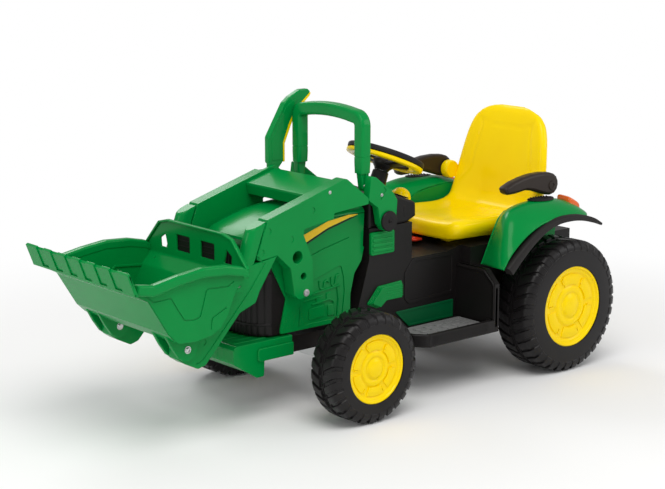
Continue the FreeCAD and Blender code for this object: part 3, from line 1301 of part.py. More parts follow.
def make_arms():
    band = ("arm_inner", "arm_inner + arm_width")
    boom = new_body("boom_outer")
    pad(boom, "XZ_Plane", *band, [spot(name) for name in boom_front + boom_leg])
    for name, radius in (("leg_eye", "leg_eye_radius"), ("leg_peep", "leg_peep_radius"),
                         ("leg_bolt", "screw_radius")):
        pocket(boom, "XZ_Plane", "arm_inner - cut_over", "arm_inner + arm_width + cut_over",
               (spot(name), radius))
    fore = new_body("forearm_outer")
    pad(fore, "XZ_Plane", *band, [spot(name) for name in boom_front + fore_rear + fore_face])
    pocket(fore, "XZ_Plane", "arm_inner - cut_over", "arm_inner + arm_width + cut_over",
           (spot("bucket_pivot"), "bolt_radius + running_gap"))
    whole = ["boom_nose"] + fore_face[::-1] + fore_rear[::-1] + ["arm_crook"] + boom_leg
    core = inset_core("arm", [spot(name) for name in whole], "arm_inner + arm_wall",
                      "arm_width - 2 * arm_wall")
    fork = block("arm_fork", (f"{across('bucket_pivot')} - fork_reach - fork_relief", "link_inner - part_gap",
                              f"{height('bucket_pivot')} - fork_reach - fork_reach"),
                 ("3 * fork_reach", "slot_outer - link_inner + part_gap", "4 * fork_reach"))
    piece("boom_left", carve("boom_left", boom, [core]))
    piece("forearm_left", carve("forearm_left", fore, [core, fork]))
    # The right arm holds the dump lever: its top is open for the lever and its link.
    slot = block("lever_slot", (f"{across('lever_pivot')} - lever_slot_rear", "link_inner - part_gap",
                                "lever_slot_low"),
                 ("lever_slot_front + lever_slot_rear", "slot_outer - link_inner + part_gap", "fork_reach * 3"))
    side_low = f"{height('lever_pivot')} + lever_pin_radius + arm_wall"
    side_slot = block("lever_side_slot", (f"{across('lever_pivot')} - lever_slot_rear",
                                          "lever_inner - part_gap", side_low),
                      ("lever_slot_front + lever_slot_rear", "arm_width", "fork_reach * 2"))
    axle = rod("lever_axle_bore", (across("lever_pivot"), "arm_inner - cut_over", height("lever_pivot")),
               "lever_pin_radius + fixed_gap", "arm_width + 2 * cut_over")
    right = carve("boom_right_left_hand", boom, [core, slot, side_slot, axle])
    piece("boom_right", mirrored(right))
    piece("forearm_right", mirrored(pieces["forearm_left"]))


def make_brackets():
    body = new_body("pivot_bracket")
    side = ["bracket_peak", "bracket_crown", "bracket_back", "bracket_rear", "bracket_hip",
            "bracket_sole_rear", "bracket_sole", "bracket_toe", "bracket_shin", "bracket_front"]
    pad(body, "XZ_Plane", "bracket_inner", "bracket_inner + bracket_thick", [spot(name) for name in side])
    pocket(body, "XZ_Plane", "bracket_inner - cut_over", "bracket_inner + bracket_thick + cut_over",
           (spot("loader_pivot"), "pivot_pin_radius + running_gap"))
    piece("pivot_brackets", both_sides("pivot_brackets", [body]))
    pin_start = "tub_half_width - cut_over"
    face = "bracket_inner + bracket_thick + part_gap"
    pin = rod("pivot_pin", (across("loader_pivot"), pin_start, height("loader_pivot")), "pivot_pin_radius",
              f"{face} - ({pin_start})")
    disc = rod("pivot_disc", (across("loader_pivot"), face, height("loader_pivot")), "pivot_disc_radius",
               "pivot_disc_thick")
    piece("pivot_discs", both_sides("pivot_discs", [join("pivot_post", [pin, disc])]))


def make_cross_beam():
    body = new_body("cross_beam")
    plate = "beam_plate"
    drop = f"({plate} + beam_flange_drop)"
    side = [spot("beam_rear_top"), spot("beam_front_top"), spot("beam_front_top", "0", f"-{drop}"),
            spot("beam_front_top", f"-{plate}", f"-{drop}"), spot("beam_front_top", f"-{plate}", f"-{plate}"),
            spot("beam_rear_top", plate, f"-{plate}"), spot("beam_rear_top", plate, f"-{drop}"),
            spot("beam_rear_top", "0", f"-{drop}")]
    pad(body, "XZ_Plane", *mid_band("arm_inner"), side)
    piece("cross_beam", body)


def make_handle():
    body = new_body("lift_handle")
    span = ("handle_rear", "handle_rear + handle_depth")
    half = "handle_half_width"
    pad(body, "YZ_Plane", *span, rectangle(f"-{half}", "handle_low", half, "handle_top"))
    top = value("handle_top") - 1
    round_edges(body, "handle_corner", lambda edge: is_crown_edge(edge, top))
    inner = f"({half} - handle_bar)"
    pocket(body, "YZ_Plane", "handle_rear - cut_over", "handle_rear + handle_depth + cut_over",
           [(f"-{inner}", "handle_low - cut_over"), (inner, "handle_low - cut_over"),
            (inner, "handle_top - handle_bar - handle_round"),
            (f"{inner} - handle_round", "handle_top - handle_bar"),
            (f"-({inner} - handle_round)", "handle_top - handle_bar"),
            (f"-{inner}", "handle_top - handle_bar - handle_round")])
    for flip in ("", "-"):
        pad(body, "YZ_Plane", *span, rectangle(f"{flip}tongue_inner", "handle_foot", f"{flip}tongue_outer",
                                               "handle_low + handle_bar"))
    piece("lift_handle", body)


def is_crown_edge(edge, floor):
    first, last = edge.Vertexes[0].Point, edge.Vertexes[-1].Point
    return min(first.z, last.z) > floor and abs(first.x - last.x) > 1


def make_screws():
    parts = []
    outer = "arm_inner + arm_width"
    for name in ("screw_boom", "leg_bolt"):
        parts.append(rod(f"{name}_head", (across(name), outer, height(name)), "nut_radius", "nut_height / 2"))
    parts.append(rod("leg_bolt_shank", (across("leg_bolt"), "arm_inner", height("leg_bolt")),
                     "screw_radius", "arm_width"))
    for name in ("screw_tongue", "screw_bracket"):
        start = "bracket_inner + bracket_thick"
        parts.append(rod(f"{name}_head", (across(name), start, height(name)), "nut_radius", "nut_height / 2"))
    both = both_sides("loader_bolts", parts)
    pin = rod("lever_axle", (across("lever_pivot"), f"-({outer} + screw_head)", height("lever_pivot")),
              "lever_pin_radius", "arm_width + screw_head")
    piece("loader_screws", group("loader_screws", [both, pin]))


edge_corners = ["edge_heel", "edge_toe", "edge_tip", "edge_back"]


def make_bucket():
    body = new_body("bucket")
    low_side = ["back_low", "back_knee", "back_heel", "base_rear", "base_mid", "base_front", "sheet_low",
                "sheet_mid", "sheet_top"]
    rim = ["rim_lip", "rim_front", "rim_mid", "rim_crest", "rim_rear", "rim_corner"]
    pad(body, "XZ_Plane", *mid_band("bucket_half_width"), [spot(name) for name in low_side + rim])
    band = [spot(name) for name in rim] + [spot(name, "0", "-rim_band") for name in reversed(rim)]
    for flip in ("", "-"):
        ends = sorted((f"{flip}(bucket_half_width - bucket_wall)", f"{flip}bucket_rim_half_width"), key=value)
        pad(body, "XZ_Plane", *ends, band)
        for start in ("lug_inner_start", "lug_outer_start"):
            ends = sorted((f"{flip}{start}", f"{flip}({start} + lug_thick)"), key=value)
            pad(body, "XZ_Plane", *ends, lug_outline())
            pad(body, "XZ_Plane", *ends, (spot("bucket_pivot"), "lug_radius"))
    add_crank_lug(body)
    wall = "bucket_wall"
    over = "2 * rim_band"
    inside = [spot("rim_corner", wall, over), spot("back_low", wall, wall), spot("back_knee", wall, f"{wall} / 2"),
              spot("back_heel", wall, f"{wall} / 2"), spot("base_rear", f"{wall} / 3", wall),
              spot("base_mid", "0", wall), spot("base_front", f"-{wall} / 3", wall),
              spot("sheet_low", f"-{wall}", f"{wall} / 2"), spot("sheet_mid", f"-{wall}", f"{wall} / 2"),
              spot("sheet_top", f"-{wall}", wall), spot("sheet_top", f"-{wall}", over)]
    pocket(body, "XZ_Plane", *mid_band(f"bucket_half_width - {wall}"), inside)
    add_back_plate(body)
    for flip in ("", "-"):
        for start in ("lug_inner_start", "lug_outer_start"):
            ends = sorted((f"{flip}({start} - 1)", f"{flip}({start} + lug_thick + 1)"), key=value)
            pocket(body, "XZ_Plane", *ends, (spot("bucket_pivot"), "bolt_radius + running_gap"))
    pocket(body, "XZ_Plane", *mid_band("edge_half_width"), [spot(name) for name in edge_corners])
    piece("bucket", body)


def lug_outline():
    slant = "lug_radius * 0.7"
    return [spot("bucket_pivot", "-lug_root_rear", "lug_root_rise"),
            spot("bucket_pivot", "lug_root_front", "lug_root_rise"),
            spot("bucket_pivot", "lug_front_reach", "lug_front_rise"),
            spot("bucket_pivot", slant, f"-{slant}"), spot("bucket_pivot", f"-{slant}", f"-{slant}"),
            spot("bucket_pivot", "-lug_radius", "0")]


def add_crank_lug(body):
    # The middle lug on the right carries the eye that the dump link turns.
    ends = ("-(crank_inner + crank_width)", "-crank_inner")
    near = "middle_lug_radius * 0.6"
    pad(body, "XZ_Plane", *ends, [spot("bucket_pivot", f"-{near}", "lug_root_rise"),
                                  spot("bucket_pivot", near, "lug_root_rise"),
                                  spot("bucket_pivot", near, "0"),
                                  spot("bucket_crank", "crank_arm_radius * 0.7", "0"),
                                  spot("bucket_crank", "-crank_arm_radius * 0.7", "0"),
                                  spot("bucket_pivot", f"-{near}", "0")])
    pad(body, "XZ_Plane", *ends, (spot("bucket_crank"), "crank_arm_radius * 0.7"))
    pad(body, "XZ_Plane", *ends, (spot("bucket_pivot"), near))
    pocket(body, "XZ_Plane", "-(crank_inner + crank_width + 1)", "-(crank_inner - 1)",
           (spot("bucket_pivot"), "bolt_radius + running_gap"))
    pad(body, "XZ_Plane", "-crank_inner", "-crank_pin_start", (spot("bucket_crank"), "crank_pin_radius"))


def add_back_plate(body):
    base = height("bucket_pivot")
    start = f"({across('rim_corner')} - plate_proud)"
    corner_z = height("rim_corner")
    half = [("bucket_rim_half_width", corner_z), ("plate_shoulder_half_width", f"{base} + plate_shoulder"),
            ("plate_top_half_width", f"{base} + plate_top")]
    foot = f"{base} + plate_foot"
    outline = [("-(bucket_half_width - bucket_wall / 2)", foot), ("bucket_half_width - bucket_wall / 2", foot)]
    outline += half + [(f"-{a}", b) for a, b in reversed(half)]
    pad(body, "YZ_Plane", start, f"{start} + plate_thick", outline)
    low = f"{base} + window_low"
    high = f"{low} + window_height"
    cut = (f"{start} - 1", f"{start} + plate_thick + 1")
    for flip in ("", "-"):
        pocket(body, "YZ_Plane", *cut,
               rectangle(f"{flip}window_inner", low, f"{flip}(window_inner + window_width)", high))
        far = f"{flip}(end_window_inner + end_window_width)"
        pocket(body, "YZ_Plane", *cut,
               [(f"{flip}end_window_inner", low), (far, low), (f"{flip}(end_window_inner + window_height / 2)", high)])


def make_bucket_fittings():
    edge = new_body("bucket_edge")
    pad(edge, "XZ_Plane", *mid_band("edge_half_width"), [spot(name) for name in edge_corners])
    top = f"{height('edge_tip')} + cut_over"
    low = f"{height('edge_toe')} - cut_over"
    front = across("edge_tip")
    for number in range(round(value("tooth_gap_count"))):
        middle = f"(({number} - (tooth_gap_count - 1) / 2) * tooth_gap_pitch)"
        pocket(edge, "YZ_Plane", f"{front} - tooth_gap_depth", f"{front} + cut_over",
               [(f"{middle} - tooth_gap_width / 2", low), (f"{middle} + tooth_gap_width / 2", low),
                (f"{middle} + tooth_gap_width / 2", top), (f"{middle} - tooth_gap_width / 2", top)])
    piece("bucket_edge", edge)
    start = "lug_inner_start - bolt_head_height"
    reach = "lug_outer_start + lug_thick - lug_inner_start"
    x, z = across("bucket_pivot"), height("bucket_pivot")
    shank = rod("bucket_bolt_shank", (x, start, z), "bolt_radius", f"{reach} + 2 * bolt_head_height")
    near = rod("bucket_bolt_nut", (x, start, z), "bolt_head_radius", "bolt_head_height")
    head = rod("bucket_bolt_head", (x, "lug_outer_start + lug_thick", z), "bolt_head_radius",
               "bolt_head_height")
    piece("bucket_bolts", both_sides("bucket_bolts", [join("bucket_bolt", [shank, near, head])]))


def make_lever():
    body = new_body("dump_lever")
    side = ["lever_base_front", "lever_kink_front", "lever_bend_front", "lever_tip_front",
            "lever_tip_rear", "lever_tip_low", "lever_bend_rear", "lever_kink_rear", "lever_base_rear"]
    pad(body, "XZ_Plane", "-(lever_inner + lever_width)", "-lever_inner", [spot(name) for name in side])
    ends = ("-(crank_inner + crank_width)", "-crank_inner")
    hub = "crank_arm_radius"
    eye = "crank_arm_radius * 0.7"
    pad(body, "XZ_Plane", *ends, [spot("lever_base_rear"), spot("lever_base_front"), spot("lever_pivot", hub, "0"),
                                  spot("lever_crank", eye, "0"), spot("lever_crank", f"-{eye}", "0"),
                                  spot("lever_pivot", f"-{hub}", "0")])
    pad(body, "XZ_Plane", *ends, (spot("lever_pivot"), hub))
    pad(body, "XZ_Plane", *ends, (spot("lever_crank"), eye))
    pocket(body, "XZ_Plane", "-(crank_inner + crank_width + 1)", "-(crank_inner - 1)",
           (spot("lever_pivot"), "lever_pin_radius + running_gap"))
    pad(body, "XZ_Plane", "-crank_inner", "-crank_pin_start", (spot("lever_crank"), "crank_pin_radius"))
    piece("dump_lever", body)
    strip = new_body("lever_strip")
    rear = ["lever_tip_low", "lever_bend_rear", "lever_kink_rear", "lever_base_rear"]
    line = [spot(name) for name in rear] + [spot(name, "-strip_thick", "-strip_thick / 3") for name in reversed(rear)]
    pad(strip, "XZ_Plane", "-(lever_inner + lever_width)", "-lever_inner", line)
    piece("lever_strip", strip)
    link = new_body("tilt_link")
    path = ["lever_crank", "link_bend", "link_knee", "link_shin", "link_calf", "link_end"]
    half = "link_thick / 2"
    ends = ("-(link_inner + link_width)", "-link_inner")
    pad(link, "XZ_Plane", *ends, [spot(name, half, half) for name in path]
        + [spot(name, f"-{half}", f"-{half}") for name in reversed(path)])
    for name in ("lever_crank", "link_end"):
        pad(link, "XZ_Plane", *ends, (spot(name), "link_eye_radius + link_eye_wall"))
    for name in ("lever_crank", "link_end"):
        pocket(link, "XZ_Plane", "-(link_inner + link_width + 1)", "-(link_inner - 1)",
               (spot(name), "link_eye_radius"))
    piece("tilt_link", link)


make_tub()
make_undertray()
make_hood()
make_grille()
make_bumper()
make_console()
make_side_panels()
make_side_trims()
make_foot_mats()
make_fenders()
make_fender_trims()
make_lamps_and_inserts()
make_drive()
make_hitch()
make_front_axle()
make_tie_rod()
make_steering()
make_wheels()
make_seat()
make_seat_fittings()
make_pedal()
make_gear_lever()
make_arms()
make_brackets()
make_cross_beam()
make_handle()
make_screws()
make_bucket()
make_bucket_fittings()
make_lever()
doc.recompute()

for thing in doc.Objects:
    if "Invalid" in thing.State or "Error" in thing.State:
        raise ValueError(f"{thing.Name} is in a wrong state: {thing.State}")
    if hasattr(thing, "Shape") and thing.isDerivedFrom("Part::Feature") and thing.Shape.isNull():
        raise ValueError(f"{thing.Name} has no shape")
for name, thing in pieces.items():
    if thing.Shape.isNull() or not thing.Shape.isValid() or not thing.Shape.Solids:
        raise ValueError(f"{name} is not a good solid")

os.makedirs("parts", exist_ok=True)
for name, thing in pieces.items():
    thing.Shape.exportStep(os.path.join("parts", f"{name}.step"))
print(f"{len(pieces)} parts written")
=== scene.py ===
import bpy, bmesh, math
from mathutils import Vector, Matrix


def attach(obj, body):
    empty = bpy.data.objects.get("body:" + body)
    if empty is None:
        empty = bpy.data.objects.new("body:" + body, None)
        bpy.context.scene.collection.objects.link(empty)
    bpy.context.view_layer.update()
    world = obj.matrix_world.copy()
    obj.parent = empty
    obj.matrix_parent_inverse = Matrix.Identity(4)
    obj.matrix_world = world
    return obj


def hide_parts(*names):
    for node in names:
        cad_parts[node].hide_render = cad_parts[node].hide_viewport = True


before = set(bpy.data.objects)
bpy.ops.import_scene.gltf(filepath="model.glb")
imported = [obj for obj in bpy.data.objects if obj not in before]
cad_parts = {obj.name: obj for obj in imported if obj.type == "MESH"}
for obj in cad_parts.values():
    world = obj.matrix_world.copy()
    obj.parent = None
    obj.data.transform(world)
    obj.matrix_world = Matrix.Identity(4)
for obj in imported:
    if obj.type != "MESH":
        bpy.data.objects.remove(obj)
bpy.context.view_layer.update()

# Outlines are written in millimetres from the rear axle; this puts them in the frame.
axleShift = 0.5748


def at(x, y, z):
    return Vector((x / 1000 - axleShift, y / 1000, z / 1000))


# Finishes: one procedural material for each entry of looks.
def makeMaterial(name, look):
    mat = bpy.data.materials.new(name)
    mat.use_nodes = True
    nodes, links = mat.node_tree.nodes, mat.node_tree.links
    shader = nodes["Principled BSDF"]
    shader.inputs["Metallic"].default_value = look.get("metal", 0.0)
    shader.inputs["IOR"].default_value = look.get("ior", 1.46)
    shader.inputs["Specular IOR Level"].default_value = look.get("specular", 0.25)
    shader.inputs["Coat Weight"].default_value = look.get("coat", 0.0)
    shader.inputs["Coat Roughness"].default_value = 0.08
    coords = nodes.new("ShaderNodeTexCoord")

    # slow colour drift of the moulded sheet
    cloud = nodes.new("ShaderNodeTexNoise")
    cloud.inputs["Scale"].default_value = look.get("cloudScale", 9)
    cloud.inputs["Detail"].default_value = 3
    links.new(coords.outputs["Object"], cloud.inputs["Vector"])
    tint = nodes.new("ShaderNodeValToRGB")
    low, high = tint.color_ramp.elements
    low.position, high.position = 0.3, 0.7
    drift = look.get("drift", 0.06)
    low.color = [c * (1 - drift) for c in look["color"]] + [1]
    high.color = [min(1, c * (1 + drift)) for c in look["color"]] + [1]
    links.new(cloud.outputs["Fac"], tint.inputs["Fac"])
    links.new(tint.outputs["Color"], shader.inputs["Base Color"])

    # fine grain, read by the roughness and the bump
    grain = nodes.new("ShaderNodeTexNoise")
    grain.inputs["Scale"].default_value = look.get("grainScale", 900)
    grain.inputs["Detail"].default_value = 2
    links.new(coords.outputs["Object"], grain.inputs["Vector"])
    shine = nodes.new("ShaderNodeMapRange")
    shine.inputs["To Min"].default_value = look["rough"] - look.get("roughDrift", 0.05)
    shine.inputs["To Max"].default_value = look["rough"] + look.get("roughDrift", 0.05)
    links.new(grain.outputs["Fac"], shine.inputs["Value"])
    links.new(shine.outputs["Result"], shader.inputs["Roughness"])
    bump = nodes.new("ShaderNodeBump")
    bump.inputs["Strength"].default_value = look.get("bump", 0.05)
    bump.inputs["Distance"].default_value = 0.0004
    links.new(grain.outputs["Fac"], bump.inputs["Height"])
    links.new(bump.outputs["Normal"], shader.inputs["Normal"])
    return mat


looks = {
    "greenPlastic": {"color": (0.0, 0.24, 0.046), "rough": 0.24, "coat": 0.1, "specular": 0.1, "drift": 0.05,
                     "bump": 0.03},
    "darkGreenStrip": {"color": (0.0, 0.1, 0.03), "rough": 0.35, "drift": 0.05},
    "yellowPlastic": {"color": (1.0, 0.7, 0.0), "rough": 0.24, "coat": 0.12, "specular": 0.12, "drift": 0.03,
                      "bump": 0.03},
    "yellowBand": {"color": (0.96, 0.6, 0.02), "rough": 0.35, "drift": 0.03},
    "blackPlastic": {"color": (0.0085, 0.0072, 0.0072), "rough": 0.42, "drift": 0.12, "bump": 0.16,
                     "grainScale": 1500},
    "softBlack": {"color": (0.013, 0.0115, 0.011), "rough": 0.55, "drift": 0.1, "bump": 0.2,
                  "grainScale": 1500},
    "tyrePlastic": {"color": (0.011, 0.0098, 0.0102), "rough": 0.36, "drift": 0.15, "bump": 0.1,
                    "grainScale": 1200},
    "armrestBrown": {"color": (0.026, 0.018, 0.014), "rough": 0.38, "drift": 0.1, "bump": 0.12,
                     "grainScale": 1400},
    "zincSteel": {"color": (0.6, 0.6, 0.61), "rough": 0.3, "metal": 1.0, "drift": 0.05, "ior": 1.5},
    "matGrey": {"color": (0.19, 0.19, 0.19), "rough": 0.45, "drift": 0.08, "bump": 0.25, "grainScale": 1300},
    "lampOrange": {"color": (0.8, 0.14, 0.02), "rough": 0.12, "coat": 0.6, "drift": 0.04},
    "latchRed": {"color": (0.62, 0.035, 0.012), "rough": 0.25, "coat": 0.3, "drift": 0.04},
    "plainGrey": {"color": (0.05, 0.05, 0.055), "rough": 0.5, "drift": 0.08},
    # painted shade: near-black for the rim's clip holes, standing in for the dark inside open holes
    "holeShadeBlack": {"color": (0.004, 0.004, 0.004), "rough": 0.7, "drift": 0.1},
}
finish = {name: makeMaterial(name, look) for name, look in looks.items()}
print("finishes ready")


# Helpers that make meshes and hand them to the frame.
def addPiece(name, mesh, finishNames, body, replaces=(), modifiers=()):
    obj = bpy.data.objects.new(name, mesh)
    bpy.context.scene.collection.objects.link(obj)
    if isinstance(finishNames, str):
        finishNames = [finishNames]
    mesh.materials.clear()
    for finishName in finishNames:
        mesh.materials.append(finish[finishName])
    for kind, settings in modifiers:
        mod = obj.modifiers.new(kind.title(), kind)
        for key, value in settings.items():
            setattr(mod, key, value)
    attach(obj, body)
    if replaces:
        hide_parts(*replaces)
    return obj


def smoothMesh(mesh, angle=32):
    for poly in mesh.polygons:
        poly.use_smooth = True
    mesh.set_sharp_from_angle(angle=math.radians(angle))
    return mesh


def meshFrom(name, verts, faces, angle=32, slots=None):
    bm = bmesh.new()
    made = [bm.verts.new(v) for v in verts]
    for i, face in enumerate(faces):
        try:
            poly = bm.faces.new([made[k] for k in face])
        except ValueError:
            continue
        if slots:
            poly.material_index = slots[i]
    bmesh.ops.remove_doubles(bm, verts=bm.verts, dist=1e-6)
    bmesh.ops.recalc_face_normals(bm, faces=bm.faces)
    mesh = bpy.data.meshes.new(name)
    bm.to_mesh(mesh)
    bm.free()
    return smoothMesh(mesh, angle)


def joinMeshes(name, meshes, indices=None):
    # several meshes as one; indices gives each one's material slot
    bm = bmesh.new()
    for i, mesh in enumerate(meshes):
        start = len(bm.faces)
        bm.from_mesh(mesh)
        bm.faces.ensure_lookup_table()
        if indices:
            for face in bm.faces[start:]:
                face.material_index = indices[i]
    joined = bpy.data.meshes.new(name)
    bm.to_mesh(joined)
    bm.free()
    return joined


def roundCorners(points, radii, steps=5):
    # a fillet at each corner of a closed outline; radii is one number or one for each corner
    count = len(points)
    if not isinstance(radii, (list, tuple)):
        radii = [radii] * count
    result = []
    for i, point in enumerate(points):
        here = Vector(point)
        back = Vector(points[i - 1]) - here
        ahead = Vector(points[(i + 1) % count]) - here
        turn = back.angle(ahead, math.pi)
        if radii[i] <= 0 or turn > math.pi - 0.02:
            result.append(tuple(here))
            continue
        reach = min(radii[i] / math.tan(turn / 2), 0.49 * back.length, 0.49 * ahead.length)
        a, b = here + back.normalized() * reach, here + ahead.normalized() * reach
        for k in range(steps + 1):
            t = k / steps
            result.append(tuple((1 - t) ** 2 * a + 2 * t * (1 - t) * here + t ** 2 * b))
    return result


def plate(name, outer, level, thick, holes=(), bevel=1.5, plane="XZ", angle=30):
    # a flat plate with rounded edges, from an outline and holes, between level and level + thick
    curve = bpy.data.curves.new(name, "CURVE")
    curve.dimensions = "2D"
    curve.fill_mode = "BOTH"
    for loop in [outer, *holes]:
        spline = curve.splines.new("POLY")
        spline.points.add(len(loop) - 1)
        for k, (a, b) in enumerate(loop):
            spline.points[k].co = (a / 1000, b / 1000, 0, 1)
        spline.use_cyclic_u = True
    curve.extrude = max(thick / 2 - bevel, 0.01) / 1000
    curve.bevel_depth = bevel / 1000
    curve.bevel_resolution = 2
    curve.offset = -bevel / 1000
    holder = bpy.data.objects.new(name, curve)
    bpy.context.scene.collection.objects.link(holder)
    bpy.context.view_layer.update()
    mesh = bpy.data.meshes.new_from_object(holder.evaluated_get(bpy.context.evaluated_depsgraph_get()))
    bpy.data.objects.remove(holder)
    bpy.data.curves.remove(curve)
    middle = (level + thick / 2) / 1000
    for vert in mesh.vertices:
        a, b, c = vert.co
        if plane == "XZ":
            vert.co = (a - axleShift, middle - c, b)
        elif plane == "XY":
            vert.co = (a - axleShift, b, middle + c)
        else:
            vert.co = (middle + c - axleShift, a, b)
    return smoothMesh(mesh, angle)


def circle(x, z, radius, steps=32):
    return [(x + radius * math.cos(2 * math.pi * k / steps), z + radius * math.sin(2 * math.pi * k / steps))
            for k in range(steps)]


def quadRows(rows, size, closed=False, cyclic=True, start=0):
    # faces between neighbouring rows of equal length
    faces = []
    for i in range(rows if closed else rows - 1):
        j = (i + 1) % rows
        for k in range(size if cyclic else size - 1):
            n = (k + 1) % size
            faces.append((start + i * size + k, start + i * size + n, start + j * size + n,
                          start + j * size + k))
    return faces


def lathe(name, profile, centre, axis, steps=64, angle=32, closed=False):
    # profile is (radius, height along the axis) in millimetres
    turn = Vector((0, 0, 1)).rotation_difference(Vector(axis)).to_matrix()
    verts = []
    for radius, high in profile:
        for k in range(steps):
            a = 2 * math.pi * k / steps
            verts.append(centre + turn @ Vector((radius * math.cos(a), radius * math.sin(a), high)) / 1000)
    rows = len(profile)
    faces = quadRows(rows, steps, closed)
    if not closed:
        faces.append(tuple(range(steps - 1, -1, -1)))
        faces.append(tuple(range((rows - 1) * steps, rows * steps)))
    return meshFrom(name, verts, faces, angle)


def loft(name, rings, capped=True, angle=32, cyclic=True):
    # skins a row of equal rings of points
    verts = [point for ring in rings for point in ring]
    size = len(rings[0])
    faces = quadRows(len(rings), size, False, cyclic)
    if capped and cyclic:
        faces.append(tuple(range(size - 1, -1, -1)))
        faces.append(tuple(range((len(rings) - 1) * size, len(rings) * size)))
    return meshFrom(name, verts, faces, angle)


def mirrorMesh(mesh):
    twin = mesh.copy()
    twin.transform(Matrix.Scale(-1, 4, (0, 1, 0)))
    twin.flip_normals()
    return twin


def smoothStep(low, high, x):
    t = max(0.0, min(1.0, (x - low) / (high - low)))
    return t * t * (3 - 2 * t)


def between(table, x):
    # value at x of a smooth curve through (x, value) pairs
    if x <= table[0][0]:
        return table[0][1]
    for i in range(len(table) - 1):
        x0, y0 = table[i]
        x1, y1 = table[i + 1]
        if x <= x1:
            before = table[max(i - 1, 0)]
            after = table[min(i + 2, len(table) - 1)]
            m0 = (y1 - before[1]) / (x1 - before[0])
            m1 = (after[1] - y0) / (after[0] - x0)
            h = x1 - x0
            t = (x - x0) / h
            return ((2 * t ** 3 - 3 * t * t + 1) * y0 + (t ** 3 - 2 * t * t + t) * h * m0
                    + (-2 * t ** 3 + 3 * t * t) * y1 + (t ** 3 - t * t) * h * m1)
    return table[-1][1]


softEdges = (("WEIGHTED_NORMAL", {"keep_sharp": True}),)


# Camera, floor and light.
view = {"place": (2.6413, 3.0991, 1.2400), "yaw": 229.562, "pitch": -12.035, "lens": 88.985,
        "shift": (0.00426, 0.00015)}
camData = bpy.data.cameras.new("camera")
camera = bpy.data.objects.new("camera", camData)
bpy.context.scene.collection.objects.link(camera)
bpy.context.scene.camera = camera
yaw, pitch = math.radians(view["yaw"]), math.radians(view["pitch"])
aim = Vector((math.cos(pitch) * math.cos(yaw), math.cos(pitch) * math.sin(yaw), math.sin(pitch)))
camera.location = view["place"]
camera.rotation_euler = aim.to_track_quat("-Z", "Y").to_euler()
camData.sensor_width = 36
camData.lens = view["lens"]
camData.shift_x, camData.shift_y = view["shift"]
camData.clip_end = 60

studio = {
    "world": 0.5,
    "lamps": [
        ("keyLamp", (1.0, 1.6, 3.2), 2.4, 62, (1, 0.99, 0.97)),
        ("sideLamp", (-2.6, 2.6, 1.8), 1.8, 22, (0.98, 0.99, 1)),
        ("frontLamp", (3.4, 0.2, 1.5), 1.4, 16, (1, 1, 1)),
        ("backLamp", (-0.6, -2.8, 2.6), 1.6, 30, (1, 1, 1)),
    ],
    "floorSize": 9, "floorNear": 1.0, "floorFar": 2.0, "floorTone": 0.93,
}
for name, place, size, watts, colour in studio["lamps"]:
    lampData = bpy.data.lights.new(name, "AREA")
    lampData.shape = "DISK"
    lampData.size = size
    lampData.energy = watts
    lampData.color = colour
    lamp = bpy.data.objects.new(name, lampData)
    bpy.context.scene.collection.objects.link(lamp)
    lamp.location = place
    lamp.rotation_euler = (Vector((0, 0, 0.3)) - Vector(place)).to_track_quat("-Z", "Y").to_euler()

world = bpy.data.worlds.new("studio")
bpy.context.scene.world = world
world.use_nodes = True
wn, wl = world.node_tree.nodes, world.node_tree.links
wn.clear()
lightPath = wn.new("ShaderNodeLightPath")
ambient = wn.new("ShaderNodeBackground")
ambient.inputs["Color"].default_value = (1, 1, 1, 1)
ambient.inputs["Strength"].default_value = studio["world"]
backdrop = wn.new("ShaderNodeBackground")
backdrop.inputs["Color"].default_value = (1, 1, 1, 1)
backdrop.inputs["Strength"].default_value = 1
worldMix = wn.new("ShaderNodeMixShader")
worldOut = wn.new("ShaderNodeOutputWorld")
wl.new(lightPath.outputs["Is Camera Ray"], worldMix.inputs["Fac"])
wl.new(ambient.outputs["Background"], worldMix.inputs[1])
wl.new(backdrop.outputs["Background"], worldMix.inputs[2])
wl.new(worldMix.outputs["Shader"], worldOut.inputs["Surface"])

floorMesh = bpy.data.meshes.new("floor")
bm = bmesh.new()
bmesh.ops.create_circle(bm, cap_ends=True, segments=96, radius=studio["floorSize"])
bm.to_mesh(floorMesh)
bm.free()
floor = bpy.data.objects.new("floor", floorMesh)
bpy.context.scene.collection.objects.link(floor)
floor.location.z = -0.0005
paper = bpy.data.materials.new("paperFloor")
paper.use_nodes = True
pn, pl = paper.node_tree.nodes, paper.node_tree.links
pn.clear()
matte = pn.new("ShaderNodeBsdfDiffuse")
matte.inputs["Color"].default_value = [studio["floorTone"]] * 3 + [1]
glow = pn.new("ShaderNodeEmission")
glow.inputs["Strength"].default_value = 1
coords = pn.new("ShaderNodeTexCoord")
reach = pn.new("ShaderNodeVectorMath")
reach.operation = "LENGTH"
fade = pn.new("ShaderNodeMapRange")
fade.interpolation_type = "SMOOTHSTEP"
fade.inputs["From Min"].default_value = studio["floorNear"]
fade.inputs["From Max"].default_value = studio["floorFar"]
paperMix = pn.new("ShaderNodeMixShader")
paperOut = pn.new("ShaderNodeOutputMaterial")
pl.new(coords.outputs["Object"], reach.inputs[0])
pl.new(reach.outputs["Value"], fade.inputs["Value"])
pl.new(fade.outputs["Result"], paperMix.inputs["Fac"])
pl.new(matte.outputs["BSDF"], paperMix.inputs[1])
pl.new(glow.outputs["Emission"], paperMix.inputs[2])
pl.new(paperMix.outputs["Shader"], paperOut.inputs["Surface"])
floorMesh.materials.append(paper)
bpy.context.scene.view_settings.view_transform = "Standard"
print("camera, floor and light ready")


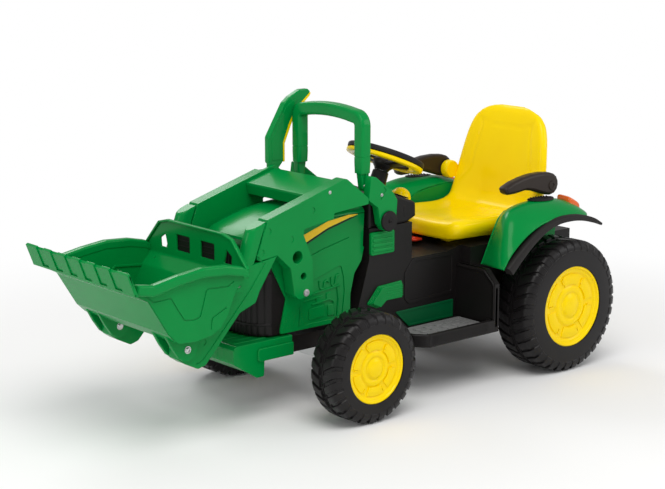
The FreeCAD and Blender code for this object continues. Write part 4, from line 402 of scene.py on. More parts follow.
# Finishes of the frame's own nodes.
nodeFinish = {
    "greenPlastic": ["hood", "bumper", "fender_left", "fender_right", "side_trims", "boom_left", "boom_right",
                     "forearm_left", "forearm_right", "cross_beam", "lift_handle", "bucket", "dump_lever"],
    "yellowPlastic": ["seat", "gear_lever", "steering_ring", "bucket_edge", "lever_strip", "rim_front_left",
                      "rim_front_right", "rim_rear_left", "rim_rear_right"],
    "blackPlastic": ["body_shell", "grille", "dash_console", "side_panels", "fender_trims", "steering_wheel",
                     "pivot_discs", "fender_inserts", "pivot_brackets", "pedal"],
    "softBlack": ["undertray", "gearboxes", "motors", "seat_rails", "tow_hitch", "pedal_bracket",
                  "steering_grip"],
    "tyrePlastic": ["tyre_front_left", "tyre_front_right", "tyre_rear_left", "tyre_rear_right"],
    "armrestBrown": ["armrest_left", "armrest_right"],
    "zincSteel": ["rear_axle", "front_axle_beam", "kingpins", "knuckle_left", "knuckle_right", "tie_rod",
                  "steering_column", "tilt_link", "loader_screws", "bucket_bolts"],
    "matGrey": ["foot_mats"], "lampOrange": ["tail_lights"], "latchRed": ["seat_latch"],
    "plainGrey": ["battery"],
}
for finishName, names in nodeFinish.items():
    for name in names:
        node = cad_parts[name]
        for materialSlot in node.material_slots:
            materialSlot.material = finish[finishName]


# Tyres and rims.
tyre = {"lugCount": {"rear": 36, "front": 28}, "lugHeight": 5.6, "slant": 0.9, "ridge": 1.6, "lugEnd": 27}
wheels = {
    "rear": {"x": 0, "radius": 176.4, "width": 121.4, "rim": 107.6},
    "front": {"x": 693.5, "radius": 135.8, "width": 97.4, "rim": 85.1},
}
outerFace = 314.6


def tyreMesh(name, wheel, lugCount):
    # rows run from the rim's edge over the outer shoulder, the tread and the inner shoulder; the columns
    # lean with the lugs, so that every lug has clean flanks
    radius, half, rim = wheel["radius"], wheel["width"] / 2, wheel["rim"]
    high = tyre["lugHeight"]
    base = radius - high
    sideRow = [(rim, 1.0), (rim + 1.2, 0.0), (rim + 8, -0.2), (rim + 0.3 * (radius - rim), 0.1),
               (rim + 0.5 * (radius - rim), 0.6), (radius - tyre["lugEnd"] - 2, 1.2)]
    lugStart, crown = radius - tyre["lugEnd"], base + tyre["ridge"]
    rows = [(r, half - back, 0) for r, back in sideRow]        # (radius, side place, share of the lug's height)
    rows += [(lugStart, half - 1.4, 0), (lugStart + 1, half - 1.6, 1), (radius - 20, half - 2.2, 1),
             (base - 7, half - 5.5, 1), (base - 2, half - 11, 1), (base, half - 17, 1),
             (base, half * 0.45, 1),
             (base, 9.0, 1), (base, 7.6, 0), (base, 4.6, 0), (crown, 4.0, 0), (crown, 2.4, 0), (base, 1.8, 0)]
    rows += [(r, -place, share) for r, place, share in reversed(rows)]
    marks = (0.0, 0.14, 0.2, 0.24, 0.5, 0.76, 0.8, 0.86)    # columns of one lug and its gap
    lift = (0, 0, 1, 1, 1, 1, 1, 0)
    verts = []
    count = lugCount * len(marks)
    for r, place, share in rows:
        lean = tyre["slant"] * (1 - min(abs(place), half - 8) / half)
        stagger = 0.0 if place > 0 else 0.5
        flat = max(0, 1 - abs(place) / 7) if abs(place) < 7 else 0
        for k in range(count):
            lug, mark = divmod(k, len(marks))
            lifted = lift[mark] * share
            turn = (lug + marks[mark] - lean * (1 - flat) + stagger * (1 - flat)) / lugCount
            onSide = smoothStep(half - 6, half - 2, abs(place))
            out = r + high * lifted * (1 - 0.75 * onSide)
            side = place + math.copysign(1.6 * lifted * onSide, place)
            a = 2 * math.pi * turn
            verts.append(Vector((out * math.cos(a), side, out * math.sin(a))) / 1000)
    return meshFrom(name, verts, quadRows(len(rows), count), 28)


def rimMesh(name, wheel):
    # the outer face: a flat lip, a step down, a broad raised ring and a domed cap
    rim, half = wheel["rim"], wheel["width"] / 2
    profile = [(rim + 0.3, -half + 2), (rim + 0.3, half - 3.4), (rim - 1, half - 2.4),
               (rim * 0.965, half - 2.2),
               (rim * 0.945, half - 3.2), (rim * 0.935, half - 6), (rim * 0.925, half - 6.8),
               (rim * 0.87, half - 7.2), (rim * 0.855, half - 7.8), (rim * 0.835, half - 10.6),
               (rim * 0.815, half - 11.2), (rim * 0.53, half - 12), (rim * 0.51, half - 11.4),
               (rim * 0.475, half - 8.4), (rim * 0.455, half - 7.8), (rim * 0.38, half - 7.6),
               (rim * 0.355, half - 8.4), (rim * 0.335, half - 10.0), (rim * 0.31, half - 10.2),
               (rim * 0.285, half - 8.6), (rim * 0.26, half - 6.4), (rim * 0.2, half - 4.6),
               (rim * 0.1, half - 3.5), (0.5, half - 3.2)]
    verts = []
    steps = 96
    for radius, place in profile:
        for k in range(steps):
            a = 2 * math.pi * k / steps
            verts.append(Vector((radius * math.cos(a), place, radius * math.sin(a))) / 1000)
    faces = quadRows(len(profile), steps)
    faces.append(tuple(range((len(profile) - 1) * steps, len(profile) * steps)))
    return meshFrom(name, verts, faces, 50)


def rimPads(name, wheel, count=6):
    # raised fields between the ring steps, with their side walls
    rim, half = wheel["rim"], wheel["width"] / 2
    low, high = rim * 0.54, rim * 0.80
    verts, faces = [], []
    columns = 10
    for p in range(count):
        start = 2 * math.pi * (p + 0.12) / count
        span = 2 * math.pi * 0.76 / count
        ring = []
        for edge, depth in ((0, -12.6), (0.0, -9.4), (0.06, -8.7)):
            a0, a1 = start + span * edge, start + span * (1 - edge)
            r0, r1 = low + (high - low) * edge, high - (high - low) * edge
            loop = [(r0, a0 + (a1 - a0) * k / columns) for k in range(columns + 1)]
            loop += [(r1, a1 - (a1 - a0) * k / columns) for k in range(columns + 1)]
            ring.append([Vector((r * math.cos(a), half + depth, r * math.sin(a))) / 1000 for r, a in loop])
        offset = len(verts)
        size = len(ring[0])
        for loop in ring:
            verts += loop
        faces += quadRows(len(ring), size, start=offset)
        top = offset + 2 * size
        for k in range(columns):
            faces.append((top + k, top + k + 1, top + size - 2 - k, top + size - 1 - k))
    return meshFrom(name, verts, faces, 50)


def rimSlots(name, wheel, count=6):
    # the L-shaped clip holes, drawn as black L-shaped blocks whose black is painted shade in place of open
    # holes
    rim, half = wheel["rim"], wheel["width"] / 2
    arm, wide = rim * 0.14, rim * 0.03
    verts, faces = [], []
    shape = [(0, 0), (arm, 0), (arm, wide), (wide, wide), (wide, arm * 0.75), (0, arm * 0.75)]
    for p in range(count):
        a = 2 * math.pi * (p + 0.06) / count
        outward = Vector((math.cos(a), 0, math.sin(a)))
        along = Vector((-math.sin(a), 0, math.cos(a)))
        centre = outward * rim * 0.62
        offset = len(verts)
        for depth in (-14, -8.2):
            for u, v in shape:
                verts.append((centre + outward * u + along * v + Vector((0, half + depth, 0))) / 1000)
        size = len(shape)
        for k in range(size):
            n = (k + 1) % size
            faces.append((offset + k, offset + n, offset + size + n, offset + size + k))
        faces.append((offset + size, offset + size + 1, offset + size + 2, offset + size + 3))
        faces.append((offset + size, offset + size + 3, offset + size + 4, offset + size + 5))
    return meshFrom(name, verts, faces, 30)


for end, wheel in wheels.items():
    treads = tyreMesh(f"{end}Tread", wheel, tyre["lugCount"][end])
    dish = joinMeshes(f"{end}Dish", [rimMesh("face", wheel), rimPads("pads", wheel),
                                     rimSlots("slots", wheel)],
                      [0, 0, 1])
    middle = outerFace - wheel["width"] / 2
    for side, sign in (("left", 1), ("right", -1)):
        place = Matrix.Translation(at(wheel["x"], sign * middle, wheel["radius"]))
        # the rim's second slot takes the painted shade black of the clip holes
        for kind, source, paint in (("tyre", treads, "tyrePlastic"),
                                    ("rim", dish, ["yellowPlastic", "holeShadeBlack"])):
            mesh = mirrorMesh(source) if sign < 0 else source.copy()
            mesh.transform(place)
            title = side.title()
            addPiece(f"{end}{title}{'Tyre' if kind == 'tyre' else 'Rim'}", mesh, paint,
                     f"{end}_wheel_{side}", [f"{kind}_{end}_{side}"])
print("wheels ready")


# Seat and armrests.
seatLook = {
    # place of the face's middle, half width, thickness, raised sides, lean of the face (0 up, 1 forward)
    "stations": [(277, 381, 96, 8, 0, 0.0), (276, 392, 122, 30, 1, 0.0), (270, 401, 139, 42, 3, 0.0),
                 (254, 407, 150, 50, 5, 0.0), (210, 408, 156, 52, 7, 0.0), (140, 403, 157, 49, 9, 0.0),
                 (70, 398, 158, 45, 12, 0.0), (22, 399, 160, 42, 18, 0.12), (-10, 409, 163, 40, 24, 0.45),
                 (-25, 430, 165, 38, 24, 0.8), (-32, 458, 165, 36, 18, 0.95), (-39, 492, 163, 36, 12, 0.98),
                 (-49, 545, 155, 36, 9, 0.98), (-59, 595, 144, 36, 8, 0.98), (-66, 628, 131, 35, 6, 0.96),
                 (-71, 648, 115, 32, 4, 0.9), (-76, 660, 97, 28, 2, 0.75), (-82, 668, 72, 20, 1, 0.5),
                 (-88, 671, 44, 8, 0, 0.3)],
    "seam": [(446, 166), (456, 142), (472, 124), (500, 111), (560, 100), (600, 92), (622, 92), (640, 103),
             (652, 118)],
    "seamDepth": 2.6, "seamWidth": 3.4, "topSeam": 616, "bossRadius": 25,
}


def seatMesh():
    stations = seatLook["stations"]
    arc = [0.0]
    for a, b in zip(stations, stations[1:]):
        arc.append(arc[-1] + math.hypot(b[0] - a[0], b[1] - a[1]))
    tracks = [[(s, station[i]) for s, station in zip(arc, stations)] for i in range(6)]
    rows, columns, backColumns = 96, 72, 18
    rings = []
    for j in range(rows + 1):
        s = arc[-1] * j / rows
        x, z, half, thick, sides, lean = (between(track, s) for track in tracks)
        tilt = max(0.0, min(1.0, lean)) * math.radians(80)
        normal = Vector((math.sin(tilt), 0, math.cos(tilt)))
        ring = []
        for k in range(columns + 1):
            u = -1 + 2 * k / columns
            edge = 1 - (1 - min(1.0, (1 - abs(u)) * half / (0.5 * thick))) ** 2
            drop = 0.42 * thick * (1 - math.sqrt(max(0.0, edge)))
            y = u * half
            rise = sides * smoothStep(0.35, 0.95, abs(u)) - 0.35 * sides
            groove = 0.0
            if z > 440:
                line = between(seatLook["seam"], z)
                groove = math.exp(-((abs(y) - line) / seatLook["seamWidth"]) ** 2) * smoothStep(446, 456, z)
                top = seatLook["topSeam"] + 8 * (y / 90) ** 2
                if abs(y) < line:
                    groove = max(groove, 0.8 * math.exp(-((z - top) / 2.2) ** 2))
            ring.append(at(x, y, z) + normal * (rise - drop - groove * seatLook["seamDepth"]) / 1000)
        for k in range(1, backColumns):
            u = 1 - 2 * k / backColumns
            edge = math.sqrt(max(0.0, 1 - abs(u) ** 6))
            ring.append(at(x, u * half, z) - normal * (0.5 * thick + 0.5 * thick * edge) / 1000)
        rings.append(ring)
    return loft("seatShell", rings, angle=60)


def bossMesh(sign):
    # the round lug that carries the armrest, blended into the seat's side
    radius = seatLook["bossRadius"]
    profile = [(radius * 0.9, 0), (radius * 0.98, 4), (radius, 10), (radius, 21), (radius - 1.5, 24.5),
               (radius - 5, 26), (5, 26)]
    return lathe("boss", profile, at(-16, sign * 158, 482), (0, sign, 0), 48, 40)


seatParts = [seatMesh(), bossMesh(1), bossMesh(-1)]
# the runners under the pan
for side in (-1, 1):
    seatParts.append(plate("runner", roundCorners([(44, 346), (238, 346), (238, 392), (44, 392)], 4),
                           side * 69 - 14, 28, bevel=2))
addPiece("seatMoulding", joinMeshes("seatMoulding", seatParts), "yellowPlastic", "seat", ["seat"])

armrest = {
    "outline": [(-41, 486), (-40, 497), (-34, 508), (-24, 516), (-8, 521), (24, 524), (60, 523), (96, 518),
                (130, 510), (157, 500), (163, 494), (158, 483), (150, 478), (128, 478), (108, 480), (84, 483),
                (58, 479), (30, 470), (8, 463), (-10, 460), (-27, 464), (-37, 473)],
    "inner": 187, "width": 30, "round": 8,
}
for side, sign in (("left", 1), ("right", -1)):
    level = armrest["inner"] if sign > 0 else -armrest["inner"] - armrest["width"]
    arm = plate("arm", roundCorners(armrest["outline"], 5, 3), level, armrest["width"],
                bevel=armrest["round"],
                angle=50)
    cap = lathe("cap", [(13, -3), (13, 1.6), (11.8, 2.8), (6.5, 3.2), (5.6, 1.4), (0.5, 1.2)],
                at(-14, sign * 216.5, 486), (0, sign, 0), 40)
    pin = lathe("pin", [(6, -14), (6, 14)], at(-14, sign * 178, 486), (0, sign, 0), 24)
    addPiece(f"armrest{side.title()}", joinMeshes("armrest", [arm, cap, pin], [0, 1, 1]),
             ["armrestBrown", "softBlack"], f"armrest_{side}", [f"armrest_{side}"])
print("seat and armrests ready")


# Rear fenders with their edges, ovals and lamps.
fender = {
    "levels": [172, 186, 210, 236, 262, 284, 300],
    "curves": [
        [(200, 296), (178, 340), (156, 384), (141, 410), (119, 427), (70, 436), (11, 442), (-50, 438),
         (-90, 426)],
        [(206, 297), (186, 343), (166, 390), (153, 418), (130, 435), (76, 445), (12, 449), (-50, 443),
         (-93, 426)],
        [(218, 300), (200, 347), (184, 395), (172, 430), (148, 447), (88, 456), (16, 457), (-50, 448),
         (-97, 424)],
        [(231, 304), (216, 350), (203, 396), (192, 432), (168, 450), (104, 462), (24, 460), (-48, 449),
         (-99, 420)],
        [(243, 307), (232, 345), (221, 385), (207, 418), (183, 438), (116, 453), (30, 453), (-46, 443),
         (-97, 414)],
        [(251, 309), (240, 336), (224, 366), (204, 394), (178, 414), (118, 432), (34, 438), (-42, 430),
         (-84, 409)],
        [(255, 311), (238, 331), (215, 352), (190, 372), (160, 391), (105, 413), (40, 420), (-20, 414),
         (-56, 405)],
    ],
    "wall": 4,
    "trimPath": [(236, 304), (200, 336), (154, 371), (108, 397), (62, 411), (12, 414), (-38, 409), (-84, 396),
                 (-110, 384)],
    "trimHigh": [(0, 13), (0.3, 10), (0.7, 8), (0.9, 7), (1.0, 3.5)],
}


def fenderMesh(sign):
    verts = []
    curves = fender["curves"]
    long = len(curves[0])
    for level, curve in zip(fender["levels"], curves):
        for x, z in curve:
            verts.append(at(x, sign * level, z))
    return meshFrom("fender", verts, quadRows(len(curves), long, cyclic=False), 180)


def cheekMesh(sign):
    edge = fender["curves"][0]
    outline = list(edge) + [(-76, 300)]
    level = 168 if sign > 0 else -172
    return plate("cheek", outline, level, 4, bevel=0.8)


def trimMesh(sign):
    # a flange that follows the fender's outer edge and runs out into a free tip
    path = fender["trimPath"]
    track = [0.0]
    for a, b in zip(path, path[1:]):
        track.append(track[-1] + math.hypot(b[0] - a[0], b[1] - a[1]))
    along = [(s, p[0]) for s, p in zip(track, path)]
    upward = [(s, p[1]) for s, p in zip(track, path)]
    rings = []
    rows = 60
    for j in range(rows + 1):
        s = track[-1] * j / rows
        x, z = between(along, s), between(upward, s)
        nx, nz = between(along, s + 1) - between(along, s - 1), between(upward, s + 1) - between(upward,
                                                                                                 s - 1)
        size = math.hypot(nx, nz) or 1
        nx, nz = nz / size, -nx / size
        if nz < 0:
            nx, nz = -nx, -nz
        high = between(fender["trimHigh"], s / track[-1])
        wide = 26 - 14 * smoothStep(0.75, 1.0, s / track[-1])
        shape = []
        for k in range(20):
            a = 2 * math.pi * (k + 0.5) / 20
            u, v = math.cos(a), math.sin(a)
            shape.append((312 - wide / 2 + wide / 2 * math.copysign(abs(u) ** 0.45, u),
                          high * math.copysign(abs(v) ** 0.6, v) - 0.2 * high * max(0, u)))
        rings.append([at(x + nx * v, sign * u, z + nz * v) for u, v in shape])
    return loft("trim", rings, angle=40)


for side, sign in (("left", 1), ("right", -1)):
    addPiece(f"fender{side.title()}", fenderMesh(sign), "greenPlastic", "chassis", [f"fender_{side}"],
                    [("SUBSURF", {"levels": 3, "render_levels": 3, "boundary_smooth": "PRESERVE_CORNERS"}),
                     ("SOLIDIFY", {"thickness": fender["wall"] / 1000, "offset": -sign})])
    addPiece(f"fenderCheek{side.title()}", cheekMesh(sign), "greenPlastic", "chassis")
addPiece("fenderEdges", joinMeshes("fenderEdges", [trimMesh(1), trimMesh(-1)]), "softBlack", "chassis",
         ["fender_trims"])


def fenderTop(x, y):
    # height of the fender's skin at a place, from its curves
    column = []
    for level, curve in zip(fender["levels"], fender["curves"]):
        column.append((level, between([(p[0], p[1]) for p in reversed(curve[4:])], x)))
    return between(column, abs(y))


# the studded oval on top and the lamp at the tail
for kind, paint, node in (("insert", ["blackPlastic", "softBlack"], "fender_inserts"),
                          ("lamp", ["lampOrange"], "tail_lights")):
    made = []
    for sign in (1, -1):
        if kind == "insert":
            rings = []
            for ringSize, lift in ((1.0, -2), (1.0, 1.6), (0.94, 2.6), (0.6, 2.9), (0.15, 3.0)):
                ring = []
                for k in range(40):
                    a = 2 * math.pi * k / 40
                    x, y = 48 + 47 * ringSize * math.cos(a), 233 + 19 * ringSize * math.sin(a)
                    ring.append(at(x, sign * y, fenderTop(x, y) + lift))
                rings.append(ring)
            made.append(loft("oval", rings))
            for k in range(7):
                x = 18 + 10 * k
                for y in (226, 240):
                    made.append(lathe("stud", [(2.6, 0), (2.2, 1.6), (1.2, 2.3), (0.2, 2.5)],
                                      at(x, sign * y, fenderTop(x, y) + 2.4), (0, 0, 1), 12))
        else:
            rings = []
            for ringSize, lift in ((1.0, -8), (1.0, 3), (0.93, 7), (0.8, 8.5), (0.2, 9.2)):
                ring = []
                for u, v in roundCorners([(-24, -25), (24, -25), (24, 25), (-24, 25)], 9, 5):
                    x, y = -62 + 0.88 * u * ringSize, 233 + v * ringSize
                    ring.append(at(x, sign * y, fenderTop(x, y) + lift))
                rings.append(ring)
            made.append(loft("lens", rings))
    slots = [0 if (kind == "lamp" or m.name.startswith("oval")) else 1 for m in made]
    addPiece("fenderOvals" if kind == "insert" else "tailLamps", joinMeshes(kind, made, slots), paint,
             "chassis",
             [node])
print("fenders ready")


# Bucket: scoop sheet, recessed side panels with pressed lines, rolled rim, back plate and lugs.
bucketShape = {
    "sheet": [(992, 404), (992, 384), (1019, 356), (1043, 303), (1062, 277), (1090, 264), (1135, 258),
              (1180, 261), (1205, 285), (1257, 369), (1301, 394)],
    "side": [(992, 384), (1019, 356), (1043, 303), (1062, 277), (1090, 263), (1135, 257), (1180, 260),
             (1205, 285), (1257, 369), (1298, 392), (1250, 402), (1184, 412), (1119, 418), (1052, 412),
             (992, 392)],
    "rimTop": [(989, 401), (1007, 413), (1052, 423), (1119, 427), (1184, 419), (1250, 407), (1293, 414)],
    "rimLow": [(1297, 390), (1250, 381), (1184, 395), (1119, 403), (1052, 399), (1008, 390), (989, 380)],
    "veeLine": [(1262, 381), (1246, 366), (1199, 368), (1181, 338), (1163, 311), (1139, 308), (1120, 312),
                (1110, 343), (1101, 374), (1072, 372), (1040, 371), (1024, 380)],
    "heelLine": [(1046, 322), (1087, 304), (1090, 278)],
    "lug": [(1088, 290), (1205, 288), (1180, 243), (1162, 217), (1150, 208), (1139, 206.5), (1125, 209),
            (1115, 219), (1111, 234)],
    "crank": [(1129, 290), (1149, 290), (1149, 234), (1145, 214), (1138, 206.5), (1131, 214), (1128, 234)],
    "half": 190, "sheetThick": 3.2, "lineWidth": 2.8, "lineDepth": 1.8, "lugStarts": (108, 157),
    "plateStart": 988.2, "windowLow": 403, "windowHigh": 443,
    "ledge": [(994, 350), (1011, 350), (1016, 356), (996, 362)],
    "gusset": [(1258, 372), (1294, 390), (1288, 398), (1252, 384)],
    "step": [(1010, 356), (1100, 364), (1110, 354), (1110, 342), (1105, 342), (1105, 352), (1097, 358),
             (1012, 350)],
}


def ribbonOutline(line, width):
    # closed outline of a narrow strip that follows a line of points
    left, right = [], []
    for i, point in enumerate(line):
        here = Vector(point)
        ahead = (Vector(line[min(i + 1, len(line) - 1)]) - Vector(line[max(i - 1, 0)])).normalized()
        side = Vector((-ahead.y, ahead.x)) * width / 2
        left.append(tuple(here + side))
        right.append(tuple(here - side))
    return left + right[::-1]


def roundLine(line, radius, steps=3):
    # an open line with its inner corners rounded
    return roundCorners(line, [0] + [radius] * (len(line) - 2) + [0], steps)


def solidify(mesh, thick, offset=-1.0, angle=40):
    holder = bpy.data.objects.new("holder", mesh)
    bpy.context.scene.collection.objects.link(holder)
    mod = holder.modifiers.new("Solidify", "SOLIDIFY")
    mod.thickness = thick / 1000
    mod.offset = offset
    bpy.context.view_layer.update()
    result = bpy.data.meshes.new_from_object(holder.evaluated_get(bpy.context.evaluated_depsgraph_get()))
    bpy.data.objects.remove(holder)
    return smoothMesh(result, angle)


def bothSides(meshes):
    return meshes + [mirrorMesh(mesh) for mesh in meshes]


def bucketMeshes():
    shape = bucketShape
    half = shape["half"]
    panel = roundCorners(shape["side"], 8, 3)
    lines = [ribbonOutline(roundLine(shape["veeLine"], 9), shape["lineWidth"]),
             ribbonOutline(roundLine(shape["heelLine"], 12), shape["lineWidth"])]
    rim = shape["rimTop"] + shape["rimLow"]
    sides = [plate("panelIn", panel, half - 4, 4, bevel=0.6),
             plate("panelOut", panel, half, shape["lineDepth"], lines, bevel=0.7),
             plate("rimBand", roundCorners(rim, 5, 3), half - 5, 22, bevel=5.5)]
    for start in shape["lugStarts"]:
        sides.append(plate("lug", roundCorners(shape["lug"], 10, 4), start, 11, [circle(1139, 234, 6.6, 20)],
                           bevel=2.2))
    sides.append(plate("gusset", roundCorners(shape["gusset"], 2, 2), 174, 6, bevel=1.2))
    sides.append(plate("sideStep", roundCorners(shape["step"], 3, 3), 183.2, 3, bevel=0.9))
    meshes = bothSides(sides)

    low, high = shape["windowLow"], shape["windowHigh"]
    outline = [(-207, 404), (-188, 390), (-188, 384), (188, 384), (188, 390), (207, 404), (147, 466),
               (111, 475),
               (-111, 475), (-147, 466)]
    windows = []
    for flip in (1, -1):
        windows.append(roundCorners([(flip * 22, low), (flip * 76, low), (flip * 76, high),
                                     (flip * 22, high)], 3))
        windows.append(roundCorners([(flip * 112, low), (flip * 142, low), (flip * 144, 424),
                                     (flip * 122, 438)], 4))
    start = shape["plateStart"]
    meshes.append(plate("backPlate", roundCorners(outline, 9, 4), start, 5.5, windows, bevel=1.6, plane="YZ"))
    flange = [(-207, 404), (-147, 466), (-111, 475), (111, 475), (147, 466), (207, 404), (198, 404),
              (142, 461),
              (108, 469), (-108, 469), (-142, 461), (-198, 404)]
    meshes.append(plate("flange", roundCorners(flange, 3, 3), start, 10, bevel=2, plane="YZ"))
    meshes.append(plate("ledge", shape["ledge"], -184, 368, bevel=1.2))
    meshes.append(plate("crankLug", roundCorners(shape["crank"], 5, 3), -149, 11,
                        [circle(1139, 234, 6.6, 20)],
                        bevel=1.5))

    line = roundLine(shape["sheet"], 16, 4)
    rows = [[at(x, -half + 2 * half * k / 12, z) for x, z in line] for k in range(13)]
    meshes.append(solidify(loft("scoop", rows, False, 40, False), shape["sheetThick"], 0.0))
    return meshes


addPiece("bucketScoop", joinMeshes("bucketScoop", bucketMeshes()), "greenPlastic", "bucket", ["bucket"],
         softEdges)


def windowShadeMesh():
    # dark panels behind the two middle windows: black sheets of painted shade standing in for the shade seen
    # through them, with two raised bars on each
    pads = []
    for flip in (1, -1):
        outline = roundCorners([(flip * 17, 398), (flip * 81, 398), (flip * 81, 448), (flip * 17, 448)], 3, 3)
        pads.append(plate("pad", outline, 984.8, 3.2, bevel=0.8, plane="YZ"))
        for z in (414, 428):
            bar = [(flip * 24, z), (flip * 74, z), (flip * 74, z + 3), (flip * 24, z + 3)]
            pads.append(plate("bar", bar, 987.4, 1.8, bevel=0.6, plane="YZ"))
    return joinMeshes("bucketWindowShade", pads)


# painted shade: a black sheet closing the two middle windows of the bucket's back plate
addPiece("bucketWindowShade", windowShadeMesh(), "blackPlastic", "bucket")

edgeShape = {
    "bar": [(1297, 391), (1302.5, 391), (1321, 438), (1318.5, 443)],
    "tooth": [(1302, 391), (1306, 391), (1325.5, 442), (1319.5, 445.5), (1317, 442)],
    "strip": [(1301, 391), (1306, 391), (1308, 396), (1303, 397)],
    "half": 213, "gapCount": 6, "gapPitch": 61, "gapWidth": 28,
}


def edgeMesh():
    shape = edgeShape
    half, gap = shape["half"], shape["gapWidth"] / 2
    meshes = [plate("bar", shape["bar"], -half, 2 * half, bevel=0.8),
              plate("strip", shape["strip"], -half, 2 * half, bevel=0.7)]
    middles = [(k - (shape["gapCount"] - 1) / 2) * shape["gapPitch"] for k in range(shape["gapCount"])]
    starts = [-half] + [m + gap for m in middles]
    stops = [m - gap for m in middles] + [half]
    for start, stop in zip(starts, stops):
        meshes.append(plate("tooth", roundCorners(shape["tooth"], 1.2, 2), start, stop - start, bevel=1.2))
    return joinMeshes("bucketLip", meshes)


addPiece("bucketLip", edgeMesh(), "greenPlastic", "bucket", ["bucket_edge"], softEdges)


def screwMesh(x, y, z, radius, high, sign=1, socket=0.45):
    # a domed screw head on a thin washer, with a hollow for the driver
    profile = [(radius, 0), (radius, high * 0.2), (radius * 0.78, high * 0.25), (radius * 0.74, high * 0.7),
               (radius * 0.6, high), (radius * socket, high), (radius * socket * 0.9, high * 0.45)]
    return lathe("screw", profile, at(x, y, z), (0, sign, 0), 24)


def bucketBoltMesh():
    meshes = []
    for sign in (1, -1):
        shank = [(6, -65), (6, 0)]
        meshes.append(lathe("shank", shank, at(1139, sign * 168.5, 234), (0, sign, 0), 24))
        meshes.append(screwMesh(1139, sign * 168.2, 234, 8.8, 4.6, sign))
        meshes.append(screwMesh(1139, sign * 107.8, 234, 8.8, 4.6, -sign))
    return joinMeshes("bucketBolts", meshes)


addPiece("bucketBolts", bucketBoltMesh(), "zincSteel", "bucket", ["bucket_bolts"])
print("bucket ready")


# Loader arms: booms, forearms with their round caps, brackets, discs, screws and the cross beam.
armShape = {
    "inner": 120, "width": 36, "skin": 1.6, "groove": 2.4,
    "boom": [(582, 499), (582, 514), (654, 571), (896, 499), (934, 403), (869, 411), (828, 373.5), (817, 307),
             (802, 293.5), (759, 300), (760, 386), (788, 449.5), (786, 463), (693, 477), (693, 490)],
    "boomRadii": [5, 5, 14, 3, 12, 4, 12, 7, 6, 8, 20, 14, 6, 4, 4],
    "boomLine": [(903, 490), (925, 412), (921, 407), (914, 407), (881, 417), (869, 415)],
    "leverSlot": (604, 692), "slotLow": 520, "slotHigh": 556,
    "eyes": [(807, 398, 15), (789, 349.5, 8.5)],
    "forearm": [(869, 410.5), (922, 334), (934, 308), (981, 291), (1052, 214), (1080, 185), (1102, 179),
                (1139, 198),
                (1159, 212), (1158, 243), (1150, 252), (1078, 252), (1026, 296), (1000, 345), (980, 394),
                (936.5, 400)],
    "forearmRadii": [1, 14, 10, 12, 20, 12, 10, 6, 8, 8, 5, 12, 10, 10, 6, 8],
    "forearmLine": [(905, 399), (950, 342), (1012, 278), (1060, 228), (1092, 196), (1108, 193)],
    "capTop": ((903, 495), (946, 480)), "capLow": ((939, 401), (980, 388)),
    "ticksBoom": [(760, 505), (893, 472), (914, 424), (826, 444)],
    "ticksForearm": [(1018, 330), (1085, 240)],
    "bracket": [(573, 567), (557, 562.5), (499, 518), (486, 499), (490, 445), (503, 425), (527, 424),
                (542, 443),
                (550, 485.5), (581.5, 508)],
}


def tickOutline(x, z, high=15, wide=6):
    # a small crescent dent
    outline = []
    for k in range(9):
        a = math.radians(90 + 180 * k / 8)
        outline.append((x + wide * math.cos(a) * 1.1, z + high / 2 * math.sin(a)))
    for k in range(7):
        a = math.radians(250 - 140 * (k + 1) / 8)
        outline.append((x + wide * 0.45 * math.cos(a), z + high / 2 * 0.9 * math.sin(a)))
    return outline


def skinnedPlate(name, outline, holes, lines):
    # an arm of full width whose outer skin carries the pressed lines
    shape = armShape
    body = plate(name, outline, shape["inner"], shape["width"] - shape["skin"], holes, bevel=1.2)
    skin = plate(name + "Skin", outline, shape["inner"] + shape["width"] - 2 * shape["skin"],
                 2 * shape["skin"],
                 holes + lines, bevel=1.3)
    return [body, skin]


def slottedBoom(cut):
    # the right boom's outline with its top cut down to a level where the lever swings
    shape = armShape
    points, radii = list(shape["boom"]), list(shape["boomRadii"])
    low, high, tail, hump, nose = *shape["leverSlot"], *(Vector(p) for p in points[1:4])
    rear = tail.lerp(hump, (low - tail.x) / (hump.x - tail.x))
    front = hump.lerp(nose, (high - hump.x) / (nose.x - hump.x))
    if cut > rear.y:
        rear = tail.lerp(hump, (cut - tail.y) / (hump.y - tail.y))
        notch = [tuple(rear), (high, cut), tuple(front)]
    else:
        notch = [tuple(rear), (low, cut), (high, cut), tuple(front)]
    points[2:3] = notch
    radii[2:3] = [1] * len(notch)
    return roundCorners(points, radii, 5)


def rightBoomMesh():
    # three layers, so that the lever and its link have room inside and above
    shape = armShape
    holes = [circle(x, z, r, 32) for x, z, r in shape["eyes"]]
    lines = [tickOutline(x, z) for x, z in shape["ticksBoom"]]
    lines.append(ribbonOutline(roundLine(shape["boomLine"], 9), shape["groove"]))
    full = roundCorners(shape["boom"], shape["boomRadii"], 5)
    low, outer = slottedBoom(shape["slotLow"]), slottedBoom(shape["slotHigh"])
    layers = [plate("boomInner", full, 120, 10, holes, bevel=1.2),
              plate("boomCore", low, 129, 22, holes, bevel=0.6),
              plate("boomOuter", outer, 150, 4.4, holes, bevel=0.6),
              plate("boomSkin", outer, 152.8, 3.2, holes + lines, bevel=1.3)]
    return joinMeshes("boom", layers)


def boomMesh():
    shape = armShape
    outline = roundCorners(shape["boom"], shape["boomRadii"], 5)
    holes = [circle(x, z, r, 32) for x, z, r in shape["eyes"]]
    lines = [tickOutline(x, z) for x, z in shape["ticksBoom"]]
    lines.append(ribbonOutline(roundLine(shape["boomLine"], 9), shape["groove"]))
    return joinMeshes("boom", skinnedPlate("boom", outline, holes, lines))


